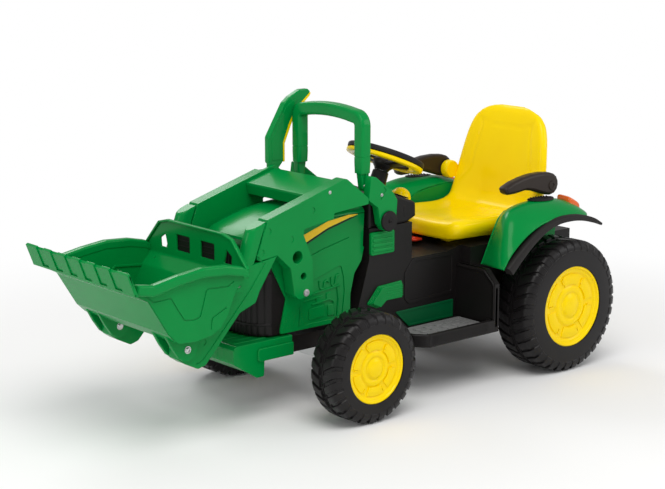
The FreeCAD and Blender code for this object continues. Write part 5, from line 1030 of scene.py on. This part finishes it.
def capMesh():
    # the half-round cap in front of the boom's nose
    shape = armShape
    middle, half = shape["inner"] + shape["width"] / 2, shape["width"] / 2 - 0.4
    (backTop, frontTop), (backLow, frontLow) = shape["capTop"], shape["capLow"]
    rings = []
    for t, pull in [(0, 0.92), (0.03, 0.98), (0.07, 1), (0.5, 1), (0.93, 1), (1, 0.97)]:
        back = Vector(backTop).lerp(Vector(backLow), t)
        front = Vector(frontTop).lerp(Vector(frontLow), t)
        ring = []
        for n in range(21):
            a = math.radians(-90 + 180 * n / 20)
            reach = 0.30 + 0.70 * max(math.cos(a), 0) ** 0.75
            spot = back.lerp(front, reach * pull)
            ring.append(at(spot.x, middle + half * pull * math.sin(a), spot.y))
        ring.append(at(back.x, middle + half * pull, back.y))
        ring.append(at(back.x, middle - half * pull, back.y))
        rings.append(ring)
    return loft("cap", rings, True, 35)


def forearmMesh():
    shape = armShape
    outline = roundCorners(shape["forearm"], shape["forearmRadii"], 5)
    lines = [tickOutline(x, z) for x, z in shape["ticksForearm"]]
    lines.append(ribbonOutline(roundLine(shape["forearmLine"], 12), shape["groove"]))
    lines.append(roundCorners([(983, 371), (1003, 377), (1006, 371), (988, 364)], 2, 2))
    return joinMeshes("forearm", skinnedPlate("forearm", outline, [], lines) + [capMesh()])


for side, flip in (("left", False), ("right", True)):
    boom, forearm = rightBoomMesh() if flip else boomMesh(), forearmMesh()
    if flip:
        boom, forearm = mirrorMesh(boom), mirrorMesh(forearm)
    addPiece("boom" + side.title(), boom, "greenPlastic", "loader", ["boom_" + side], softEdges)
    addPiece("forearm" + side.title(), forearm, "greenPlastic", "loader", ["forearm_" + side], softEdges)


def bracketMesh():
    shape = armShape
    outline = roundCorners(shape["bracket"], [4, 4, 8, 8, 12, 8, 10, 14, 16, 3], 5)
    hole = [circle(517, 449, 6, 20)]
    line = ribbonOutline([(541, 505), (524, 527), (530, 534)], 1.8)
    ring = plate("bracketRing", circle(517, 449, 24, 40), 153, 2.4, hole, bevel=1)
    meshes = [plate("bracket", outline, 132.8, 20.6, hole, bevel=1.4),
              plate("bracketSkin", outline, 152.4, 2.9, hole + [line], bevel=1.2), ring]
    return joinMeshes("bracket", bothSides(meshes))


addPiece("pivotBrackets", bracketMesh(), "greenPlastic", "loader", ["pivot_brackets"], softEdges)


def discMesh():
    meshes = []
    for sign in (1, -1):
        profile = [(23.5, 0), (25.5, 0.8), (25.5, 4.2), (24, 5.8), (18, 6.6), (10, 6.9), (9, 6.2), (7, 6.2)]
        meshes.append(lathe("disc", profile, at(517, sign * 156.6, 449), (0, sign, 0), 48))
    return meshes


def discScrews():
    return [screwMesh(517, sign * 162.6, 449, 5.4, 2.8, sign) for sign in (1, -1)]


discs, screws = discMesh(), discScrews()
joined = joinMeshes("pivotDiscs", discs + screws, [0] * len(discs) + [1] * len(screws))
addPiece("pivotDiscs", joined, ["blackPlastic", "zincSteel"], "chassis", ["pivot_discs"])


def armScrewMesh():
    meshes = []
    for sign in (1, -1):
        for x, z, y, radius, high in ((707, 543, 156, 4.4, 2.6), (575, 540, 131, 4, 3),
                                      (539, 517, 155.4, 4.2, 2.8)):
            meshes.append(screwMesh(x, sign * y, z, radius, high, sign))
        meshes.append(lathe("washer", [(8.8, 0), (8.8, 1.1)], at(781, sign * 155.9, 308), (0, sign, 0), 24))
        meshes.append(lathe("nut", [(7, 0), (7, 2.3), (6.2, 3), (3.6, 3), (3.4, 1.6)],
                            at(781, sign * 156.5, 308),
                            (0, sign, 0), 6))
    meshes.append(lathe("leverPin", [(4, 0), (4, 38), (7, 38), (7, 39.5), (5, 41)], at(650, -119, 548),
                        (0, -1, 0), 20))
    return joinMeshes("loaderScrews", meshes)


addPiece("loaderScrews", armScrewMesh(), "zincSteel", "loader", ["loader_screws"])


def beamMesh():
    # a lid-like beam between the booms: rounded top sheet with its edges turned down
    outline = [(652, 560), (656, 562), (748, 536), (748, 530), (742, 506), (737, 506), (741, 526), (657, 551),
               (657, 512), (652, 512)]
    meshes = [plate("beam", roundCorners(outline, 2.5, 3), -119.5, 239, bevel=0.8)]
    for y in (-60, 0, 60):
        web = [(658, 550), (740, 527), (737, 508), (660, 514)]
        meshes.append(plate("beamWeb", web, y - 1.5, 3, bevel=0.5))
    return joinMeshes("crossBeam", meshes)


addPiece("crossBeam", beamMesh(), "greenPlastic", "loader", ["cross_beam"], softEdges)
print("arms ready")


# Hood: a crowned lid over flat sides, with a yellow band and a pressed engine relief.
hoodShape = {
    "half": 116, "wall": 4.2, "skin": 2.4, "shoulderDrop": 27, "noseSweep": 24,
    "crest": [(561, 498), (640, 498), (709, 495), (773, 485), (814, 475), (858, 461), (893, 448)],
    "sideLow": [(874, 421), (855, 374), (811, 289), (829, 217), (829, 205), (607, 205), (606, 271),
                (593, 321),
                (570, 350), (561, 385)],
    "band": [(763, 437), (680, 463), (612, 471), (575, 469), (612, 463), (680, 447), (754, 418)],
    "bandLine": [(753, 417), (680, 445.5), (612, 461.5), (575, 467.5), (612, 458), (680, 441.5),
                 (750, 413.5)],
    "relief": [(756, 313), (637, 349), (628, 318), (625, 280), (633, 216), (756, 216)],
    "pipes": [[(706, 318), (704, 298), (692, 296), (690, 312), (682, 318), (676, 310)],
              [(668, 322), (666, 300), (656, 300), (652, 322), (644, 326)],
              [(756, 286), (700, 292), (640, 298)], [(756, 274), (716, 278), (700, 278)],
              [(730, 262), (676, 268), (660, 262), (656, 222)], [(648, 296), (644, 262), (648, 220)]],
    "blocks": [[(694, 262), (716, 260), (716, 280), (694, 282)],
               [(668, 268), (684, 266), (684, 284), (668, 286)],
               [(690, 228), (740, 224), (740, 252), (690, 256)],
               [(658, 226), (680, 226), (680, 254), (658, 254)]],
    "crease": [(752, 380), (690, 398), (668, 402), (612, 414)],
    "slot": [(771, 214), (774, 214), (770, 262), (767, 262)],
}


def crownMesh():
    shape = hoodShape
    half, rows = shape["half"], []
    crest = shape["crest"]
    columns = [half * math.sin(math.radians(a)) for a in range(-90, 91, 6)]
    stations = [k / 24 for k in range(25)] + ["lip", "fascia", "under"]
    for s in stations:
        row = []
        for y in columns:
            t = abs(y) / half
            nose = 898 - shape["noseSweep"] * t ** 2.6
            drop = shape["shoulderDrop"] * (1 - math.sqrt(max(0, 1 - t ** 3.2)))
            if isinstance(s, float) or isinstance(s, int):
                x = 561 + s * (nose - 561)
                round_ = 5 * smoothStep(0.97, 1, s)
                row.append(at(x, y, between(crest, x) - drop - round_))
            elif s == "lip":
                row.append(at(nose + 1, y, between(crest, nose) - drop - 11))
            elif s == "fascia":
                row.append(at(nose - 9, y, between(crest, nose) - drop - 30))
            else:
                row.append(at(nose - 32 + 10 * t, y * 0.985, 386))
        rows.append(row)
    return solidify(loft("crown", rows, False, 28, False), shape["wall"], -1.0, 28)


def hoodSides():
    shape = hoodShape
    half, skin = shape["half"], shape["skin"]
    shoulder = []
    for k in range(13):
        x = 561 + (874 - 561) * k / 12
        shoulder.append((x, between(shape["crest"], x) - shape["shoulderDrop"] - 1.5))
    outline = shoulder + roundCorners(shape["sideLow"], [0, 20, 14, 8, 4, 4, 14, 22, 22, 4], 5)[1:]
    relief = roundCorners(shape["relief"], [6, 10, 30, 60, 6, 6], 5)
    crease = ribbonOutline(roundLine(shape["crease"], 10), 1.8)
    meshes = [plate("sideIn", outline, half - shape["wall"], shape["wall"] - skin, bevel=0.3),
              plate("sideOut", outline, half - skin - 0.6, skin + 0.6, [relief, crease, shape["slot"]],
                    bevel=0.7)]
    for line in shape["pipes"]:
        meshes.append(plate("pipe", ribbonOutline(roundLine(line, 5), 4.8), half - 3, 3.9, bevel=1.5))
    for block in shape["blocks"]:
        meshes.append(plate("block", roundCorners(block, 3, 3), half - 3, 3.2, bevel=1.1))
    for k in range(12):
        x = 762 + 5.2 * k
        rib = [(x, 216), (x + 2.2, 216), (x - 1, 216 + 60 * (1 - 0.04 * k)),
               (x - 3.2, 216 + 60 * (1 - 0.04 * k))]
        meshes.append(plate("rib", rib, half - 0.6, 1.1, bevel=0.4))
    return bothSides(meshes)


addPiece("hoodLid", joinMeshes("hoodLid", [crownMesh()] + hoodSides()), "greenPlastic", "chassis", ["hood"],
         softEdges)


def bandPlate(name, outline, thick):
    return plate(name, roundCorners(outline, 1.5, 2), hoodShape["half"] - 0.4, thick, bevel=0.3)


addPiece("hoodBand", joinMeshes("hoodBand", bothSides([bandPlate("band", hoodShape["band"], 1.0)])),
         "yellowBand",
         "chassis")
addPiece("hoodLine", joinMeshes("hoodLine", bothSides([bandPlate("line", hoodShape["bandLine"], 0.9)])),
         "blackPlastic", "chassis")

grilleShape = {"half": 111, "low": 204.5, "high": 403, "front": 896, "side": 850, "rear": 802,
               "foldPitch": 12.3,
               "foldDeep": 3.6}


def grilleMesh():
    shape = grilleShape
    half = shape["half"]
    rows = []
    steps = 108
    for z, lean in ((shape["low"], 0), (shape["low"] + 6, 2), (260, 3), (330, 3), (shape["high"] - 8, 2),
                    (shape["high"], -3)):
        row = [at(shape["rear"], -half, z)]
        for k in range(steps + 1):
            y = -half + 2 * half * k / steps
            t = abs(y) / half
            x = shape["side"] + (shape["front"] - shape["side"]) * (1 - t ** 4)
            fold = shape["foldDeep"] * max(0, math.cos(2 * math.pi * y / shape["foldPitch"])) ** 0.5
            row.append(at(x + lean - fold * (0.25 if z in (shape["low"], shape["high"]) else 1), y, z))
        row.append(at(shape["rear"], half, z))
        rows.append(row)
    bars = []
    for z in (228, 352):
        bar = []
        for k in range(25):
            y = -half + 2 * half * k / 24
            t = abs(y) / half
            bar.append((shape["side"] + (shape["front"] - shape["side"]) * (1 - t ** 4) + 4, y))
        back = [(x - 14, y * 0.98) for x, y in reversed(bar)]
        bars.append(plate("bar", bar + back, z, 7, bevel=1.5, plane="XY"))
    return joinMeshes("grilleScreen", [solidify(loft("folds", rows, False, 50, False), 3, -1.0, 50)] + bars)


addPiece("grilleScreen", grilleMesh(), "blackPlastic", "chassis", ["grille"], softEdges)
print("hood ready")


# Bumper: ribbed top, fluted front, plain corners and a raised bar on each side.
bumperShape = {
    "half": 122, "wall": 4,
    "side": [(797, 198), (968, 198), (975, 192), (975, 157), (906, 112), (884, 113), (882, 158), (797, 158)],
    "bar": [(797, 152), (900, 152), (906, 157), (906, 180), (900, 184), (797, 184)],
    "ribs": (-96, 96, 9), "flutes": (-78, 78, 7),
}


def bumperMesh():
    shape = bumperShape
    half, wall = shape["half"], shape["wall"]
    cheek = plate("cheek", roundCorners(shape["side"], [3, 6, 6, 14, 6, 4, 8, 3], 4), half - wall, wall,
                  bevel=1.8)
    bar = plate("bar", roundCorners(shape["bar"], 3, 3), half - 1, 6.8, bevel=2.4)
    meshes = bothSides([cheek, bar])
    skin = [(797, 199), (966, 199.5), (974.5, 192), (974.5, 157), (938, 132.5), (938, 136), (970, 159),
            (970, 190),
            (964, 195.5), (797, 195)]
    meshes.append(plate("skin", roundCorners(skin, [0, 7, 7, 10, 0, 0, 8, 5, 5, 0], 4), -half + 1,
                        2 * half - 2,
                        bevel=0.8))
    low, high, count = shape["ribs"]
    for k in range(count):
        y = low + (high - low) * k / (count - 1)
        rib = roundCorners([(860, y - 3), (958, y - 3), (958, y + 3), (860, y + 3)], 2.8, 3)
        meshes.append(plate("topRib", rib, 197, 3.6, bevel=1.2, plane="XY"))
    low, high, count = shape["flutes"]
    for k in range(count):
        y = low + (high - low) * k / (count - 1)
        flute = roundCorners([(y - 7, 160), (y + 7, 160), (y + 7, 190), (y - 7, 190)], 5, 3)
        meshes.append(plate("flute", flute, 971.5, 3.6, bevel=1.7, plane="YZ"))
    meshes.append(plate("rearWeb", [(800, 160), (804, 160), (804, 196), (800, 196)], -half + 2, 2 * half - 4,
                        bevel=0.6))
    return joinMeshes("bumperCover", meshes)


addPiece("bumperCover", bumperMesh(), "greenPlastic", "chassis", ["bumper"], softEdges)

# Lift handle: a hoop over the hood that ends in tongues beside the brackets.
hoopShape = {
    "middle": 572, "deep": 16, "wide": 17, "legHalf": 120, "foot": 571, "corner": 40, "top": 726, "rise": 8.5,
    "seam": 611, "tongue": [(-14, 572), (14, 572), (8, 533), (4, 526.5), (-4, 526.5), (-8, 533)],
}


def hoopPath():
    # (y, z) of the centre line from the left foot over the top to the right foot
    shape = hoopShape
    half, corner, top = shape["legHalf"], shape["corner"], shape["top"] - shape["wide"]
    path = []
    for z in (shape["foot"], 580, 595, shape["seam"] - 1.6, shape["seam"] - 0.8, shape["seam"] + 0.8,
              shape["seam"] + 1.6, 630, 645):
        path.append((half, z))
    middle = (half - corner + 17, top - corner + 17)
    reach = corner - 17
    for k in range(9):
        a = math.radians(90 * k / 8)
        path.append((middle[0] + reach * math.cos(a), middle[1] + reach * math.sin(a)))
    path += [(y, top + shape["rise"] * (1 - (y / middle[0]) ** 2)) for y in (70, 47, 23)]
    path.append((0, top + shape["rise"]))
    return path + [(-y, z) for y, z in reversed(path[:-1])]


def hoopMesh():
    shape = hoopShape
    path = hoopPath()
    rings = []
    for i, (y, z) in enumerate(path):
        ahead = (Vector(path[min(i + 1, len(path) - 1)]) - Vector(path[max(i - 1, 0)])).normalized()
        out = Vector((-ahead.y, ahead.x)) * -1
        seam = abs(abs(z) - shape["seam"]) < 1 and abs(y) > 100
        pull = 0.955 if seam else 1.0
        foot = 1 - 0.12 * smoothStep(600, shape["foot"], z) if abs(y) > 100 else 1.0
        ring = []
        for k in range(28):
            a = 2 * math.pi * (k + 0.5) / 28
            c, s = math.cos(a), math.sin(a)
            u = abs(c) ** 0.45 * (1 if c > 0 else -1) * shape["deep"] * pull
            v = abs(s) ** 0.45 * (1 if s > 0 else -1) * shape["wide"] * pull * foot
            if abs(u) < 4:
                v *= 0.93
            ring.append(at(shape["middle"] + u, y + out.x * v, z + out.y * v))
        rings.append(ring)
    meshes = [loft("hoop", rings, True, 40)]
    for side in (1, -1):
        tongue = [(shape["middle"] + x, z) for x, z in shape["tongue"]]
        meshes.append(plate("tongue", roundCorners(tongue, 2.5, 3), 121.5 * side - 9.5, 19, bevel=3))
        rib = [(571, 560), (573, 560), (573, 602), (571, 602)]
        meshes.append(plate("rib", rib, 133 * side - 3, 6, bevel=0.8))
    return joinMeshes("liftHoop", meshes)


addPiece("liftHoop", hoopMesh(), "greenPlastic", "loader", ["lift_handle"], softEdges)

# Dump lever: a swept handle on the right with a yellow strip down its rear edge.
leverShape = {
    "inner": -156, "width": 18,
    "front": [(659, 548), (660, 570), (660, 638), (608, 722), (590, 736), (556, 752), (530, 752)],
    "rear": [(522, 745), (524, 741), (574, 700), (592, 668), (612, 620), (612, 572), (628, 530)],
    "eye": [(644, 508), (638, 505.7), (632, 508), (631, 516)],
    "strip": [(519, 742), (524, 734), (568, 697), (586, 664), (607, 618), (607, 571), (612.5, 571),
              (612.5, 622),
              (594, 672), (577, 704), (528, 743)],
}


def leverMeshes():
    shape = leverShape
    blade = roundCorners(shape["front"][1:] + shape["rear"][:-1], [6, 14, 22, 22, 14, 5, 3, 3, 12, 16,
                                                                              20, 4], 4)
    web = roundCorners([(650, 578), (650, 634), (603, 712), (560, 738), (590, 690), (622, 634), (622, 578)],
                       [3, 10, 14, 6, 14, 10, 3], 4)
    meshes = [plate("blade", blade, shape["inner"], shape["width"], bevel=3.2),
              plate("webLeft", web, shape["inner"] + shape["width"] - 1.2, 2.2, bevel=0.9),
              plate("webRight", web, shape["inner"] - 1.0, 2.2, bevel=0.9)]
    arm = [(612, 574), (660, 574), (659, 548)] + shape["eye"] + [(640, 545)]
    meshes.append(plate("arm", roundCorners(arm, [3, 3, 5, 3, 4, 3, 3, 6], 3), -149, 11,
                        [circle(650, 548, 4.4, 16)],
                        bevel=1.4))
    return meshes


addPiece("dumpLever", joinMeshes("dumpLever", leverMeshes()), "greenPlastic", "dump_lever", ["dump_lever"],
         softEdges)
addPiece("leverStrip", plate("leverStrip", roundCorners(leverShape["strip"], 2, 2), leverShape["inner"] + 0.5,
                             leverShape["width"] - 1, bevel=1.4), "yellowPlastic", "dump_lever",
                             ["lever_strip"],
         softEdges)
print("front and loader fittings ready")


# Steering wheel: black grip over a yellow ring, three black spokes and a hub.
wheelShape = {"centre": (387, 0, 575), "tilt": 23.3, "outer": 102.6, "inner": 79, "gripTop": 15,
              "ringLow": -13}
tiltRad = math.radians(wheelShape["tilt"])
wheelUp = Vector((-math.sin(tiltRad), 0, math.cos(tiltRad)))
wheelAhead = Vector((math.cos(tiltRad), 0, math.sin(tiltRad)))


def onWheel(ahead, side, high):
    return at(*wheelShape["centre"]) + (wheelAhead * ahead + Vector((0, side, 0)) + wheelUp * high) / 1000


def handRingMesh(name, low, high, roundTop, steps=96):
    # closed ring section between two heights, rounder on one side
    shape = wheelShape
    middle, half = (shape["outer"] + shape["inner"]) / 2, (shape["outer"] - shape["inner"]) / 2
    profile = []
    for k in range(20):
        a = 2 * math.pi * k / 20
        c, s = math.cos(a), math.sin(a)
        power = 0.7 if (s > 0) == roundTop else 0.25
        r = middle + half * abs(c) ** 0.7 * (1 if c > 0 else -1)
        profile.append((r, (low + high) / 2 + (high - low) / 2 * abs(s) ** power * (1 if s > 0 else -1)))
    verts = []
    for r, h in profile:
        for k in range(steps):
            a = 2 * math.pi * k / steps
            verts.append(onWheel(r * math.cos(a), r * math.sin(a), h))
    return meshFrom(name, verts, quadRows(len(profile), steps, True), 40)


def spokeMeshes():
    meshes = []
    for angle in (90, -90, 180):
        a = math.radians(angle)
        rings = []
        for r, high, wide, thick in ((14, -16, 20, 9), (34, -14, 16, 8.5), (56, -9, 13, 8),
                                     (74, -4.5, 14, 7.5),
                                     (84, -3, 17, 6.5)):
            ring = []
            for k in range(20):
                b = 2 * math.pi * (k + 0.5) / 20
                c, s = math.cos(b), math.sin(b)
                u = abs(c) ** 0.5 * (1 if c > 0 else -1) * wide
                v = abs(s) ** 0.5 * (1 if s > 0 else -1) * thick / 2
                ring.append(onWheel(r * math.cos(a) - u * math.sin(a), r * math.sin(a) + u * math.cos(a),
                                    high + v))
            rings.append(ring)
        meshes.append(loft("spoke", rings, True, 40))
    hub = [(19, -34), (20, -30), (27, -22), (29, -14), (28, -8), (24, -5), (19, -4.2), (18, -5.2), (0.5, -5)]
    meshes.append(lathe("hub", hub, at(*wheelShape["centre"]), tuple(wheelUp), 48, 35))
    return meshes


gripTop, ringLow = wheelShape["gripTop"], wheelShape["ringLow"]
addPiece("steeringGrip", handRingMesh("steeringGrip", 0, gripTop, True), "softBlack", "steering",
         ["steering_grip"])
addPiece("steeringRing", handRingMesh("steeringRing", ringLow, -0.2, False), "yellowPlastic", "steering",
         ["steering_ring"])
addPiece("steeringSpokes", joinMeshes("steeringSpokes", spokeMeshes()), "blackPlastic", "steering",
         ["steering_wheel"], softEdges)

# Console behind the hood with the column sleeve, a key slot and a gauge face.
consoleShape = {
    "side": [(396, 443), (397, 479), (466, 505), (556, 503), (556, 429), (428, 429)],
    "radii": [4, 12, 14, 5, 3, 8], "half": 128,
}


def consoleMesh():
    shape = consoleShape
    meshes = [plate("console", roundCorners(shape["side"], shape["radii"], 4), -shape["half"],
                    2 * shape["half"],
                    bevel=6)]
    sleeve = [(30, -112), (29, -92), (24, -84), (22, -60), (21, -38), (19, -36)]
    meshes.append(lathe("sleeve", sleeve, at(*wheelShape["centre"]), tuple(wheelUp), 48, 35))
    for y in (-84, 84):
        meshes.append(plate("gauge", roundCorners([(404, y - 26), (452, y - 26), (452, y + 26),
                                                   (404, y + 26)], 6, 3),
                            482, 2.4, bevel=1, plane="XY"))
    for mesh in meshes[2:]:
        slope = math.atan2(26, 69)
        pivot = at(397, 0, 482)
        turn = Matrix.Translation(pivot) @ Matrix.Rotation(-slope, 4, "Y") @ Matrix.Translation(-pivot)
        mesh.transform(turn)
    for side in (1, -1):
        lever = roundCorners([(432, 446), (440, 446), (440, 474), (432, 474)], 3, 3)
        meshes.append(plate("keySlot", lever, 127.2 * side - 1.4, 2.8, bevel=1))
    return joinMeshes("console", meshes)


addPiece("consoleBox", consoleMesh(), "blackPlastic", "chassis", ["dash_console"], softEdges)


def sidePanelMesh():
    outline = roundCorners([(478, 362), (556, 362), (556, 420), (478, 420)], 6, 4)
    meshes = [plate("panel", outline, 128, 9.6, bevel=2)]
    for k in range(4):
        z = 369.5 + 13 * k
        bar = roundCorners([(484, z), (552, z), (552, z + 8), (484, z + 8)], 2, 2)
        meshes.append(plate("rib", bar, 136.6, 3.2, bevel=1.4))
    return joinMeshes("sidePanels", bothSides(meshes))


addPiece("sidePanels", sidePanelMesh(), "greenPlastic", "chassis", ["side_panels"], softEdges)


def stepMesh():
    # terraced fairing beside the tub
    outline = [(447, 240), (447, 283), (526, 279), (564, 238), (531, 223), (509, 240)]
    middle = Vector((498, 256))
    meshes = []
    for k in range(4):
        pull = 1 - 0.045 * k
        ring = [tuple(middle + (Vector(p) - middle) * pull) for p in outline]
        meshes.append(plate("terrace", roundCorners(ring, [2, 2, 6, 4, 4, 6], 3), 127.8 + 3.5 * k, 3.7,
                            bevel=1.1))
    for k in range(5):
        z = 247.5 + 6 * k
        bar = [(451, z), (512 - k, z), (512 - k, z + 2.6), (451, z + 2.6)]
        meshes.append(plate("line", bar, 140.6, 1.6, bevel=0.6))
    return joinMeshes("stepTrims", bothSides(meshes))


def stripMesh():
    outline = roundCorners([(262, 158), (262, 205), (468, 203), (420, 158)], [2, 2, 3, 6], 3)
    inner = roundCorners([(268, 164), (268, 199), (454, 197), (417, 164)], [2, 2, 3, 6], 3)
    return joinMeshes("sideStrips", bothSides([plate("strip", outline, 127.8, 3, [inner], bevel=0.9),
                                               plate("field", outline, 127.8, 2.2, bevel=0.6)]))


addPiece("stepTrims", stepMesh(), "greenPlastic", "chassis", ["side_trims"], softEdges)
addPiece("sideStrips", stripMesh(), "darkGreenStrip", "chassis", (), softEdges)


def matMesh():
    corners = [(262, 152), (262, 248), (470, 248), (497, 222), (497, 156), (448, 151)]
    outline = roundCorners(corners, [5, 5, 8, 8, 4, 6], 3)
    inner = roundCorners([(268, 158), (268, 242), (467, 242), (491, 219), (491, 161), (448, 157)],
                         [4, 4, 7, 7, 3, 5], 3)
    meshes = [plate("mat", outline, 157.2, 3, bevel=0.8, plane="XY"),
              plate("border", outline, 159, 3.2, [inner], bevel=0.9, plane="XY")]
    for row in range(3):
        for column in range(6):
            x, y = 288 + 36 * column, 176 + 25 * row
            if x > 462 and y > 218:
                continue
            stud = roundCorners([(x - 12, y - 7), (x + 12, y - 7), (x + 12, y + 7), (x - 12, y + 7)], 5, 3)
            meshes.append(plate("stud", stud, 159, 3.6, bevel=1.4, plane="XY"))
    return joinMeshes("footMats", bothSides(meshes))


addPiece("footMats", matMesh(), "matGrey", "chassis", ["foot_mats"], softEdges)

# Gear lever with a round knob, foot pedal and seat latch.


def gearMesh():
    knob = [(8, -30), (11, -27), (12.5, -24.5)]
    knob += [(27 * math.cos(math.radians(a)), 27 * math.sin(math.radians(a))) for a in range(-60, 88, 7)]
    knob.append((0.6, 27))
    top = lathe("knob", knob, at(332, 0, 464), (0, 0, 1), 48, 50)
    stem = lathe("stem", [(6.5, 0), (6.5, 80), (8, 94), (8, 102)], at(332, 0, 340), (0, 0, 1), 24)
    boot = [(6, -1), (14.4, 0), (15, 2.4), (13, 4), (14.2, 7), (11.5, 9), (12.4, 12), (9, 14), (7, 16)]
    base = lathe("boot", boot, at(332, 0, 342), (0, 0, 1), 32, 50)
    return joinMeshes("gearStick", [top, stem, base], [0, 1, 1])


addPiece("gearStick", gearMesh(), ["yellowPlastic", "blackPlastic"], "gear_lever", ["gear_lever"])


def pedalMesh():
    # modelled flat, then tipped up about its hinge
    meshes = [plate("pad", roundCorners([(396, -232), (463, -232), (463, -180), (396, -180)], 7, 4), 170, 5,
                    bevel=1.5, plane="XY")]
    for k in range(5):
        x = 408 + 11 * k
        bar = roundCorners([(x, -226), (x + 5, -226), (x + 5, -186), (x, -186)], 2, 2)
        meshes.append(plate("tread", bar, 174, 2.8, bevel=1, plane="XY"))
    hinge = at(392, 0, 172)
    turn = Matrix.Translation(hinge) @ Matrix.Rotation(math.radians(-20), 4, "Y") @ Matrix.Translation(-hinge)
    for mesh in meshes:
        mesh.transform(turn)
    meshes.append(lathe("barrel", [(6, 0), (6, 51)], at(392, -231.5, 172), (0, 1, 0), 24))
    return joinMeshes("footPedal", meshes)


addPiece("footPedal", pedalMesh(), "blackPlastic", "pedal", ["pedal"], softEdges)


def latchMesh():
    outline = roundCorners([(272, -38), (296, -41), (306, -34), (306, 18), (296, 25), (272, 22)],
                           [3, 6, 8, 8, 6, 3], 4)
    meshes = [plate("latch", outline, 346.2, 5.6, bevel=1.8, plane="XY")]
    for k in range(3):
        bar = roundCorners([(282 + 6 * k, -28), (284.6 + 6 * k, -28), (284.6 + 6 * k, 12),
                            (282 + 6 * k, 12)], 1, 2)
        meshes.append(plate("grip", bar, 350.6, 1.9, bevel=0.7, plane="XY"))
    return joinMeshes("seatLatch", meshes)


addPiece("seatLatch", latchMesh(), "latchRed", "seat_latch", ["seat_latch"], softEdges)
print("cockpit ready")


# Body trim: rounded rims round the footboards and leg walls, and pressed panels on the tunnel sides.
boardShape = {
    "rim": [(512, 150), (512, 236), (482, 270), (262, 270), (236, 244), (236, 232), (249, 238), (268, 257),
            (476, 257), (499, 231), (499, 150)],
    "wall": [(132, 300), (232, 300), (270, 266), (270, 150), (257, 150), (257, 260), (227, 288), (132, 288)],
    "low": 141, "high": 173.5, "wallStart": 235.5, "wallDeep": 17,
    "tunnel": [(262, 222), (262, 330), (404, 334), (436, 300), (436, 232), (420, 216)],
    "tunnelInner": [(270, 230), (270, 322), (400, 326), (428, 296), (428, 236), (416, 224)],
}


def footboardMesh():
    shape = boardShape
    rim = roundCorners(shape["rim"], [3, 24, 24, 24, 8, 2, 8, 14, 14, 14, 3], 5)
    wall = roundCorners(shape["wall"], [3, 14, 22, 4, 4, 14, 8, 3], 5)
    meshes = [plate("boardRim", rim, shape["low"], shape["high"] - shape["low"], bevel=4.5, plane="XY"),
              plate("wallRim", wall, shape["wallStart"], shape["wallDeep"], bevel=5, plane="YZ")]
    tunnel = roundCorners(shape["tunnel"], [4, 6, 16, 22, 14, 6], 4)
    inner = roundCorners(shape["tunnelInner"], [4, 5, 14, 20, 12, 5], 4)
    meshes.append(plate("tunnelPanel", tunnel, 127.8, 2.2, [inner], bevel=0.9))
    return joinMeshes("bodyRims", bothSides(meshes))


addPiece("bodyRims", footboardMesh(), "blackPlastic", "chassis", (), softEdges)
print("body trim ready")


# The end.
print("all pieces ready")
